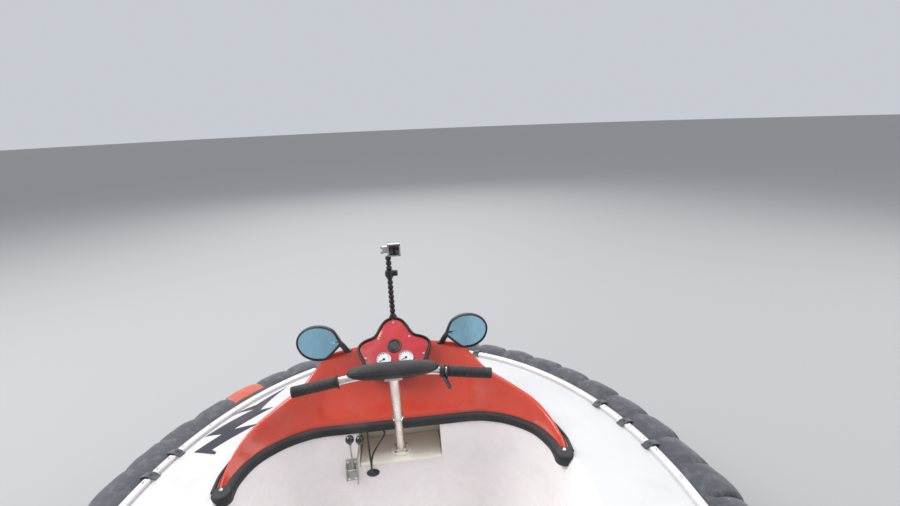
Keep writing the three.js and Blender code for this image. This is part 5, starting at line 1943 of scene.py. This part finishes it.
@dataclass(frozen=True)
class Seat:
    """The straddle seat for two on its white pedestal, and the backrest pad."""

    half_width: float = 0.14
    base: float = 0.4403

    TOPS = mm(
        (-545, 560), (-540, 600), (-515, 624), (-460, 628.5), (-320, 626), (-190, 622), (-145, 612),
        (-118, 585), (-80, 556), (-20, 546), (150, 533), (320, 527), (405, 522), (445, 506),
        (459, 470),
    )  # y and height of the cushion's top
    PEDESTAL = mm(
        (158, 486, -480, 130.3), (148, 478, -545, 240), (140, 470, -575, 420),
        (136, 466, -571, 433), (126, 456, -560, 440),
    )  # half width, front, rear and height
    BACK = mm((-20, 16), (-19, 6), (-10, 0), (10, 0), (20, 6), (24, 20))

    def build(self) -> None:
        """Makes the pedestal, the cushion and the backrest."""
        bm = bmesh.new()
        rows = through(self.PEDESTAL, 3)
        loft(bm, [outer_ring(half, (rear, front), 0.065, z) for half, front, rear, z in rows])
        piece(bm, "pedestal_moulding", Finish.WHITE, "seat_pedestal")
        self.cushion()
        self.backrest()

    def cushion(self) -> None:
        """Makes the stepped cushion with a welt round its top and sewn channels."""
        tops = through(self.TOPS, 4)
        rings = []
        crown, edge, base = 0.01, 0.024, self.base
        for y, top in tops:
            ends = min(1.0, (y + 0.549) / 0.03, (0.463 - y) / 0.03)
            half = (self.half_width - 0.006) * (0.9 + 0.1 * ends)
            brow = top - crown
            left = [(-half, base + 0.004), (-half - 0.003, base + 0.03), (-half, brow - edge)]
            left += [(-half + 0.006, brow - 0.4 * edge), (-half + edge, brow)]
            middle = [(x * (half - edge), top - crown * x * x) for x in (-0.6, -0.3, 0, 0.3, 0.6)]
            rings.append([xyz(x, y, z) for x, z in (*left, *middle, *((-x, z) for x, z in reversed(left)))])
        bm = bmesh.new()
        loft(bm, rings)
        obj = piece(bm, "saddle_cushion", Finish.VINYL, "seat_cushion", sharp=80)
        swell(obj, 0.007, 0.007)
        for side, name in SIDES:
            line = [xyz(side * self.half_width, y, top - 0.022) for y, top in tops[4:-4]]
            seam(obj, line, 0.0026, "saddle_welt_" + name)
        for number, y in enumerate((-0.43, -0.33, -0.23, 0.05, 0.15, 0.25, 0.35)):
            top = next(z for at, z in tops if at >= y)
            line = [xyz(self.half_width * k / 12, y, top + 0.004) for k in range(-10, 11)]
            seam(obj, line, 0.0016, f"saddle_stitch_{number}")

    def backrest(self) -> None:
        """Makes the backrest pad on the engine cover's front."""
        low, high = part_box("backrest_pad")
        lean = atan2(16, 140)
        turn = Matrix.Rotation(pi / 2 + lean, 4, "X")
        where = Matrix.Translation((low + high) / 2) @ turn
        half, tall = (high.x - low.x) / 2 - 0.004, 0.098
        rings = []
        for z, inset in self.BACK:
            rings.append(outer_ring(half - inset, (inset - tall, tall - inset), 0.05, z))
        bm = bmesh.new()
        loft(bm, rings)
        obj = piece(bm, "backrest_cushion", Finish.VINYL, "backrest_pad", sharp=80, where=where)
        swell(obj, 0.006, 0.006)
        ring = [where @ p for p in outer_ring(half, (-tall, tall), 0.05, 0.012)]
        seam(obj, [*ring, ring[0]], 0.0024, "backrest_welt")


# Engine, duct and fan


@dataclass(frozen=True)
class Engine:
    """The engine under its red cover, the silencer and the belt drive."""

    shell: float = 0.006
    door_half: float = 0.09
    door_low: float = 0.56
    door_high: float = 0.8
    silencer: Row = (-0.33, 0.59)
    fan_z: float = 1.005
    engine_z: float = 0.735
    thick: float = 0.036
    belt_y: float = -0.86

    COVER = mm(
        (238, -652, -842, 521), (236, -653, -842, 550), (232, -656, -840, 680),
        (200, -672, -836, 820), (150, -690, -828, 884), (90, -712, -812, 902),
    )  # half width, front, rear and height
    CAN = mm(
        (0, 0), (30, 0), (44, 4), (48, 12), (48, 188), (44, 196), (30, 200), (0, 200),
    )  # radius and length
    BAND = mm((48, 0), (49.6, 1), (49.6, 13), (48, 14))
    TAIL = mm(
        (0, -882, 0), (-10, -897, 8), (-40, -916, 29), (-70, -930, 50),
    )  # from the silencer's middle, and y
    BELT = mm(
        (-2.5, -15), (2.2, -15.5), (2.5, -14), (2.5, 14), (2.2, 15.5), (-2.5, 15), (-2.8, 12),
        (-1.2, 8), (-2.8, 4), (-1.2, 0), (-2.8, -4), (-1.2, -8), (-2.8, -12),
    )  # outwards from the belt's middle, and along the axles

    def build(self) -> None:
        """Makes the cover, the silencer, the pulleys and the belt."""
        self.cover()
        self.exhaust()
        self.drive()
        dress(["engine_block"], Finish.ALLOY)

    def cover(self) -> None:
        """Makes the cover with louvres, latches and its open door to the belt."""
        bm = bmesh.new()
        rows = through(self.COVER, 4)
        loft(bm, [outer_ring(half, (rear, front), 0.036, z) for half, front, rear, z in rows], capped=False)
        close(bm, lambda spot: spot.z > 0.8)
        cut_window(bm, self.door_half, self.door_low, self.door_high, lambda y: y < -0.8)
        thicken(bm, self.shell)
        piece(bm, "cover_moulding", Finish.RED, "engine_cover")
        louvres, latches = bmesh.new(), bmesh.new()
        for side, _ in SIDES:
            for k in range(6):
                middle = (side * (0.2365 - 0.0007 * k), -0.75, 0.5885 + 0.018 * k)
                brick(louvres, middle, (0.003, 0.05, 0.0035), 0.0024)
            for y in (-0.69, -0.806):
                brick(latches, (side * 0.2385, y, 0.546), (0.004, 0.011, 0.02))
                hook = xyz(side * 0.2425, y, 0.556)
                bar(latches, hook - FORWARD * 0.013, hook + FORWARD * 0.013, 0.0035)
        piece(louvres, "cover_louvres", Finish.PLASTIC)
        piece(latches, "cover_latches", Finish.BRIGHT)

    def exhaust(self) -> None:
        """Makes the silencer with its pipes, bands and bracket."""
        x, z = self.silencer
        bm = bmesh.new()
        turned(bm, self.CAN, xyz(x, -0.89, z), FORWARD, 40)
        sweep(bm, circle(0.02, 20), [p + xyz(x, 0, z) for p in curve(self.TAIL, 5)])
        bar(bm, xyz(x + 0.005, -0.73, z), xyz(x + 0.108, -0.73, z), 0.02, 24)
        for y in (-0.873, -0.721):
            turned(bm, self.BAND, xyz(x, y, z), FORWARD, 40)
        block(bm, (x - 0.02, -0.82, 0.5205), (x + 0.02, -0.76, z - 0.03), 0.003)
        piece(bm, "silencer_can", Finish.HEATED, "exhaust_silencer")

    def drive(self) -> None:
        """Makes both pulleys and the ribbed belt."""
        self.pulley(0.09, self.fan_z, "fan_sheave", "fan_pulley", "fan")
        self.pulley(0.06, self.engine_z, "engine_sheave", "engine_pulley", "engine_pulley")
        lean = degrees(asin(0.03 / (self.fan_z - self.engine_z)))
        path = arc((0, self.fan_z), 0.0945, -lean, 180 + lean, 24)
        path += arc((0, self.engine_z), 0.0645, 180 + lean, 360 - lean, 24)
        bm = bmesh.new()
        sweep(bm, self.BELT, [xyz(x, self.belt_y, z) for x, z in path], FORWARD, looped=True)
        piece(bm, "ribbed_belt", Finish.RUBBER, "drive_belt", sharp=50)

    def pulley(self, radius: float, z: float, name: str, node: str, body: str) -> None:
        """Makes one grooved pulley.

        Args:
            radius: Its radius.
            z: Its axle's height.
            name: The piece's name.
            node: The solid that it stands for.
            body: The body that it rides on.
        """
        low, thick = self.belt_y - self.thick / 2, self.thick
        rim = [(radius - 0.009, 0), (radius - 0.001, 0), (radius, 0.001)]
        profile = [(0.0155, 0), (radius * 0.45, 0), (radius * 0.5, 0.008), (radius - 0.012, 0.008), *rim]
        for k in range(7):
            profile += [(radius, 0.003 + 0.0045 * k), (radius - 0.003, 0.0052 + 0.0045 * k)]
        profile += [(radius, thick - 0.002), (radius - 0.001, thick), (radius - 0.009, thick)]
        profile += [(radius - 0.012, thick - 0.008), (radius * 0.5, thick - 0.008)]
        profile += [(radius * 0.45, thick), (0.0155, thick)]
        bm = bmesh.new()
        turned(bm, profile, xyz(0, low, z), FORWARD, 64)
        if body != "fan":
            bar(bm, xyz(0, low + 0.002, z), xyz(0, -0.8155, z), 0.0158, 24)
        for x, height in arc((0, z), radius * 0.68, 0, 300, 5):
            bolt(bm, xyz(x, low + 0.008, height), -FORWARD, 0.0045)
        piece(bm, name, Finish.ALLOY, node, body)


@dataclass(frozen=True)
class Duct:
    """The white duct on its base, with the guard, the stators and the shaft's frame."""

    z: float = 1.005
    guard_y: float = -0.9217
    frame_y: float = -0.897
    frame_foot: float = 0.25
    sides: int = 96

    PROFILE = mm(
        (433, -1475), (438.5, -1474), (440, -1460), (464, -1290), (475, -1110), (469, -978),
        (460, -945), (444, -927), (434, -925.5), (422, -933), (413, -955), (410, -990),
        (410, -1150), (420, -1310), (432, -1472), (433, -1475),
    )  # radius and y, round the wall
    WING = mm((-30, 0), (-24, 2.2), (-5, 3.4), (18, 3), (28, 1.6), (30, 0))

    def build(self) -> None:
        """Makes every fixed piece round the fan."""
        bm = bmesh.new()
        turned(bm, through(self.PROFILE, 3), self.round_duct(0, 0, 0), FORWARD, self.sides)
        piece(bm, "duct_moulding", Finish.WHITE, "duct", sharp=45)
        self.bolts()
        self.guard()
        self.stators()
        self.frame()
        dress(["duct_base", "air_splitter"], Finish.WHITE)

    def round_duct(self, degrees: float, radius: float, y: float) -> Vector:
        """A point round the fan's axis.

        Args:
            degrees: Its angle from starboard.
            radius: Its distance from the axis.
            y: Its place along the axis.

        Returns:
            The point.
        """
        turn = radians(degrees)
        return xyz(radius * cos(turn), y, self.z + radius * sin(turn))

    def bolts(self) -> None:
        """Adds the bolts along the duct's outlet band and over the stators' ends."""
        rows = [(7.5 + 15 * k, 0.4405, -1.452, 0.0045) for k in range(24)]
        rows += [(90 + 72 * k, 0.4685, y, 0.005) for k in range(5) for y in (-1.245, -1.215)]
        bm = bmesh.new()
        for degrees, reach, y, radius in rows:
            seat = self.round_duct(degrees, reach, y)
            if seat.z > 0.7:
                bolt(bm, seat, seat - self.round_duct(0, 0, y), radius)
        piece(bm, "duct_bolts", Finish.BRIGHT)

    def guard(self) -> None:
        """Makes the wire guard over the inlet."""
        bm = bmesh.new()
        y = self.guard_y
        for k in range(17):
            path = [self.round_duct(5 * i, 0.052 + 0.024 * k, y) for i in range(72)]
            sweep(bm, circle(0.0022, 6), path, FORWARD, looped=True)
        for k in range(8):
            angle = 22.5 + 45 * k
            inner, outer = (self.round_duct(angle, reach, y + 0.003) for reach in (0.05, 0.438))
            bar(bm, inner, outer, 0.003, 10)
        piece(bm, "guard_wires", Finish.BRIGHT, "fan_guard", sharp=60)

    def stators(self) -> None:
        """Makes the five fixed vanes and the rear bearing's boss."""
        middle = self.round_duct(0, 0, -1.23)
        bm = bmesh.new()
        boss(bm, middle, FORWARD, (0.0156, 0.046, 0.04), (0.006, 0.006), 48)
        wing = [*self.WING, *((y, -x) for y, x in reversed(self.WING[1:-1]))]
        for k in range(5):
            turn = Matrix.Rotation(-tau * k / 5, 3, "Y")
            rings = []
            for reach in (0.042, 0.16, 0.28, 0.4105):
                rings.append([middle + turn @ xyz(x, y, reach) for y, x in wing])
            loft(bm, rings)
        piece(bm, "stator_vanes", Finish.ALLOY, "fan_stators")

    def frame(self) -> None:
        """Makes the black tube frame with the front bearing."""
        bm, bolts = bmesh.new(), bmesh.new()
        y, foot = self.frame_y, self.frame_foot
        boss(bm, xyz(0, y, self.z), FORWARD, (0.0156, 0.04, 0.011), (0.006, 0.004), 40)
        for side, _ in SIDES:
            bar(bm, xyz(side * 0.028, y, self.z - 0.024), xyz(side * foot, y, 0.5235), 0.011, 24)
            brick(bm, (side * foot, y, 0.5243), (0.028, 0.022, 0.0037))
            for dx in (-0.018, 0.018):
                bolt(bolts, xyz(side * foot + dx, y - 0.015, 0.528), UP, 0.0045)
        bar(bm, xyz(-0.17, y, 0.7), xyz(0.17, y, 0.7), 0.008, 20)
        piece(bm, "shaft_frame", Finish.PAINT, "fan_frame")
        for k in range(4):
            bolt(bolts, self.round_duct(45 + 90 * k, 0.029, y - 0.01), -FORWARD, 0.0038)
        piece(bolts, "frame_bolts", Finish.BRIGHT)


@dataclass(frozen=True)
class Fan:
    """The nine-bladed black fan on its steel shaft."""

    z: float = 1.005
    y: float = -1.1
    blades: int = 9

    STATIONS = (
        (0.058, 0.07, 48.0, 0.13), (0.14, 0.092, 40.0, 0.12), (0.23, 0.1, 34.0, 0.1),
        (0.32, 0.09, 29.0, 0.09), (0.385, 0.074, 26.0, 0.08), (0.3995, 0.062, 25.0, 0.06),
    )  # radius, chord, pitch in degrees, thickness as a share of the chord
    WING = (
        (-0.5, 0.0), (-0.47, 0.35), (-0.35, 0.8), (-0.15, 1.0), (0.1, 0.85), (0.35, 0.4),
        (0.5, 0.02), (0.35, 0.02), (0.1, -0.1), (-0.15, -0.18), (-0.4, -0.22),
    )  # along the chord, and thickness
    HUB = mm(
        (15.5, -1130), (70, -1130), (78, -1124), (78, -1090), (72, -1080), (52, -1068), (46, -1066),
        (15.5, -1066), (15.5, -1130),
    )  # radius and y

    def build(self) -> None:
        """Makes the fan and its shaft."""
        bm = bmesh.new()
        centre = xyz(0, 0, self.z)
        turned(bm, self.HUB, centre, FORWARD, 64)
        for k in range(self.blades):
            turn = Matrix.Rotation(tau * k / self.blades, 3, "Y")
            rings = []
            for radius, chord, pitch, thick in through(self.STATIONS, 3):
                sine, cosine = sin(radians(pitch)), cos(radians(pitch))
                ring = []
                for along, high in self.WING:
                    u, v = along * chord, high * thick * chord
                    spot = turn @ xyz(radius, u * sine + v * cosine, u * cosine - v * sine)
                    ring.append(spot + xyz(0, self.y, self.z))
                rings.append(ring)
            loft(bm, rings)
        piece(bm, "fan_rotor", Finish.PLASTIC, "fan", "fan", sharp=50)
        bm = bmesh.new()
        for x, z in arc((0, self.z), 0.062, 20, 340, 8):
            bolt(bm, xyz(x, -1.076, z), FORWARD, 0.0048)
        piece(bm, "hub_bolts", Finish.BRIGHT, body="fan")
        bm = bmesh.new()
        bar(bm, centre - FORWARD * 1.268, centre - FORWARD * 0.838, 0.015, 40, 0.0015)
        piece(bm, "shaft_steel", Finish.STEEL, "fan_shaft", "fan")


@dataclass(frozen=True)
class Rudders:
    """The twin rudders behind the duct, their rails and the rod that ties them."""

    x: float = 0.15
    z: float = 1.005
    half_height: float = 0.386
    hinge_y: float = -1.51
    horn_y: float = -1.596

    SECTION = mm(
        (0, -1491.2), (6.8, -1494), (10.8, -1500), (12, -1508), (11.5, -1530), (9.5, -1575),
        (6.5, -1610), (3, -1640), (1.2, -1654.5),
    )  # half thickness and y
    LEVELS = (
        (-1, 0.8), (-0.997, 0.95), (-0.99, 1), (-0.5, 1), (0, 1), (0.5, 1), (0.99, 1),
        (0.997, 0.95), (1, 0.8),
    )  # share of the half height, and of the section

    def build(self) -> None:
        """Makes the rails, the rudders and the tie rod."""
        self.rails()
        for side, name in SIDES:
            self.rudder(side * self.x, name)
        self.tie_rod()

    def rails(self) -> None:
        """Makes the upper and lower rail with their bolts."""
        bolts = bmesh.new()
        for name, sign in (("lower", -1), ("upper", 1)):
            inner, outer = self.z + sign * 0.392, self.z + sign * 0.41
            bm = bmesh.new()
            block(bm, (-0.205, -1.534, min(inner, outer)), (0.205, -1.4753, max(inner, outer)), 0.003, 3)
            piece(bm, "rail_" + name, Finish.ALLOY, "rudder_rail_" + name)
            for side, _ in SIDES:
                washer = [(0, 0), (0.012, 0), (0.012, 0.003), (0, 0.003)]
                turned(bolts, washer, xyz(side * self.x, self.hinge_y, outer), UP * sign, 24)
            for x in (-0.185, -0.09, 0.09, 0.185):
                bolt(bolts, xyz(x, -1.492, outer), UP * sign, 0.005)
        piece(bolts, "rail_bolts", Finish.BRIGHT)

    def rudder(self, x: float, name: str) -> None:
        """Makes one rudder: a red aerofoil with end plates, its pin and its horn.

        Args:
            x: Where its hinge stands.
            name: Its side.
        """
        body, hinge, horn, tall = "rudder_" + name, self.hinge_y, self.horn_y, self.half_height
        outline = [*self.SECTION, *((-a, b) for a, b in reversed(self.SECTION[1:]))]
        rings = []
        for share, size in self.LEVELS:
            z, deep = self.z + share * tall, 0.5 + size / 2
            rings.append([xyz(x + a * size, hinge + (b - hinge) * deep, z) for a, b in outline])
        bm = bmesh.new()
        loft(bm, rings)
        piece(bm, "rudder_blade_" + name, Finish.RED, body, body)
        bm = bmesh.new()
        top = self.z + tall
        bar(bm, xyz(x, hinge, self.z - 0.401), xyz(x, hinge, self.z + 0.401), 0.006, 20)
        bar(bm, xyz(x, horn, top - 0.002), xyz(x, horn, top + 0.026), 0.005, 20)
        for z in (self.z - tall + 0.001, top - 0.001):
            brick(bm, (x, horn, z), (0.011, 0.016, 0.002), 0.001)
        piece(bm, "rudder_pins_" + name, Finish.STEEL, body=body)

    def tie_rod(self) -> None:
        """Makes the rod with an eye over each rudder's horn."""
        y, z = self.horn_y, self.z + self.half_height + 0.016
        bm = bmesh.new()
        bar(bm, xyz(0.01 - self.x, y, z), xyz(self.x - 0.01, y, z), 0.004, 16)
        for side, _ in SIDES:
            boss(bm, xyz(side * self.x, y, z), UP, (0.0056, 0.011, 0.006), (0.001, 0.002), 32)
            bar(bm, xyz(side * (self.x - 0.034), y, z), xyz(side * (self.x - 0.018), y, z), 0.0062, 6)
        piece(bm, "tie_rod_steel", Finish.STEEL, "rudder_tie_rod", "tie_rod")


@dataclass(frozen=True)
class Outside:
    """The red pods on the after deck and the three skids under the hull."""

    pod: Row = (0.65, -1.205, 0.62)
    pod_size: Row = (0.18, 0.375, 0.262)
    pod_base: float = 0.452
    skid_half: float = 0.032

    RUNNER = mm((-1090, 0), (940, 0), (1000, 59.5), (-1150, 59.5))

    def build(self) -> None:
        """Makes the pods and the skids."""
        x, y, z = self.pod
        for side, name in SIDES:
            bm = bmesh.new()
            where = Matrix.Translation((side * x, y, z)) @ Matrix.Diagonal((*self.pod_size, 1))
            bmesh.ops.create_uvsphere(bm, u_segments=72, v_segments=40, radius=1, matrix=where)
            geom = [*bm.verts, *bm.edges, *bm.faces]
            cut = (0, 0, self.pod_base)
            bmesh.ops.bisect_plane(bm, geom=geom, plane_co=cut, plane_no=-UP, clear_outer=True)
            close(bm)
            piece(bm, "pod_moulding_" + name, Finish.RED, "side_pod_" + name)
        for name, x in (("port", -0.4), ("centre", 0.0), ("starboard", 0.4)):
            where = Matrix.Translation((x, 0, 0)) @ SIDEWAYS
            bm = bmesh.new()
            plate(bm, self.RUNNER, where, -self.skid_half, self.skid_half, 0, 0.004)
            piece(bm, "runner_" + name, Finish.RUNNER, "skid_" + name)


# Studio


@dataclass(frozen=True)
class Studio:
    """A pale floor, soft lights and the camera at the rear seat's eye level."""

    eye: Row = (0.062, -0.378, 1.522)
    yaw: float = -5.95
    pitch: float = 73.0
    roll: float = -2.32
    lens: float = 18.0

    def build(self) -> None:
        """Makes the floor, the lights and the camera."""
        self.floor()
        self.camera()
        world = bpy.data.worlds.new("studio")
        world.use_nodes = True
        world.node_tree.nodes["Background"].inputs[0].default_value = (0.8, 0.84, 0.9, 1)
        world.node_tree.nodes["Background"].inputs[1].default_value = 0.72
        bpy.context.scene.world = world
        bpy.context.scene.view_settings.view_transform = "Standard"
        self.light("key", (-4.5, 1.5, 6.0), 4.0, 430)
        self.light("fill", (5.0, 1.0, 4.5), 6.0, 210)
        self.light("front", (0.0, 7.0, 5.0), 6.0, 240)

    def floor(self) -> None:
        """Makes the floor."""
        bm = bmesh.new()
        bmesh.ops.create_circle(bm, cap_ends=True, segments=96, radius=60)
        mesh = bpy.data.meshes.new("studio_floor")
        bm.to_mesh(mesh)
        bm.free()
        floor = bpy.data.objects.new("studio_floor", mesh)
        bpy.context.scene.collection.objects.link(floor)
        graph = Graph("studio_floor")
        graph.set(Base_Color=(0.37, 0.37, 0.375, 1), Roughness=0.75)
        mesh.materials.append(graph.material)

    def camera(self) -> None:
        """Makes the camera."""
        data = bpy.data.cameras.new("camera")
        data.lens = self.lens
        data.sensor_width = 36
        data.clip_start = 0.02
        camera = bpy.data.objects.new("camera", data)
        bpy.context.scene.collection.objects.link(camera)
        turn = Matrix.Rotation(radians(self.yaw), 4, "Z")
        tilt = Matrix.Rotation(radians(self.pitch), 4, "X")
        lean = Matrix.Rotation(radians(self.roll), 4, "Z")
        camera.matrix_world = Matrix.Translation(self.eye) @ turn @ tilt @ lean
        bpy.context.scene.camera = camera

    def light(self, name: str, place: Row, size: float, power: float) -> None:
        """Adds a square soft light that faces the craft.

        Args:
            name: Its name.
            place: Where it stands.
            size: Its width.
            power: Its power in watts.
        """
        data = bpy.data.lights.new(name, "AREA")
        data.size = size
        data.energy = power
        light = bpy.data.objects.new(name, data)
        light.location = place
        light.rotation_euler = (-Vector(place)).to_track_quat("-Z", "Y").to_euler()
        bpy.context.scene.collection.objects.link(light)


def main() -> None:
    """Builds the craft piece by piece and notes its size."""
    logging.basicConfig(level=logging.INFO, format="%(name)s: %(message)s")
    Studio().build()
    parts = (Skirt, Battens, Deck, Tub, Cowl, Dash, Mirrors, CameraArm, Steering, Levers, Seat)
    for made in (*parts, Engine, Duct, Fan, Rudders, Outside):
        made().build()
        LOG.info("built the %s", made.__name__.lower())


if __name__ == "__main__":
    main()
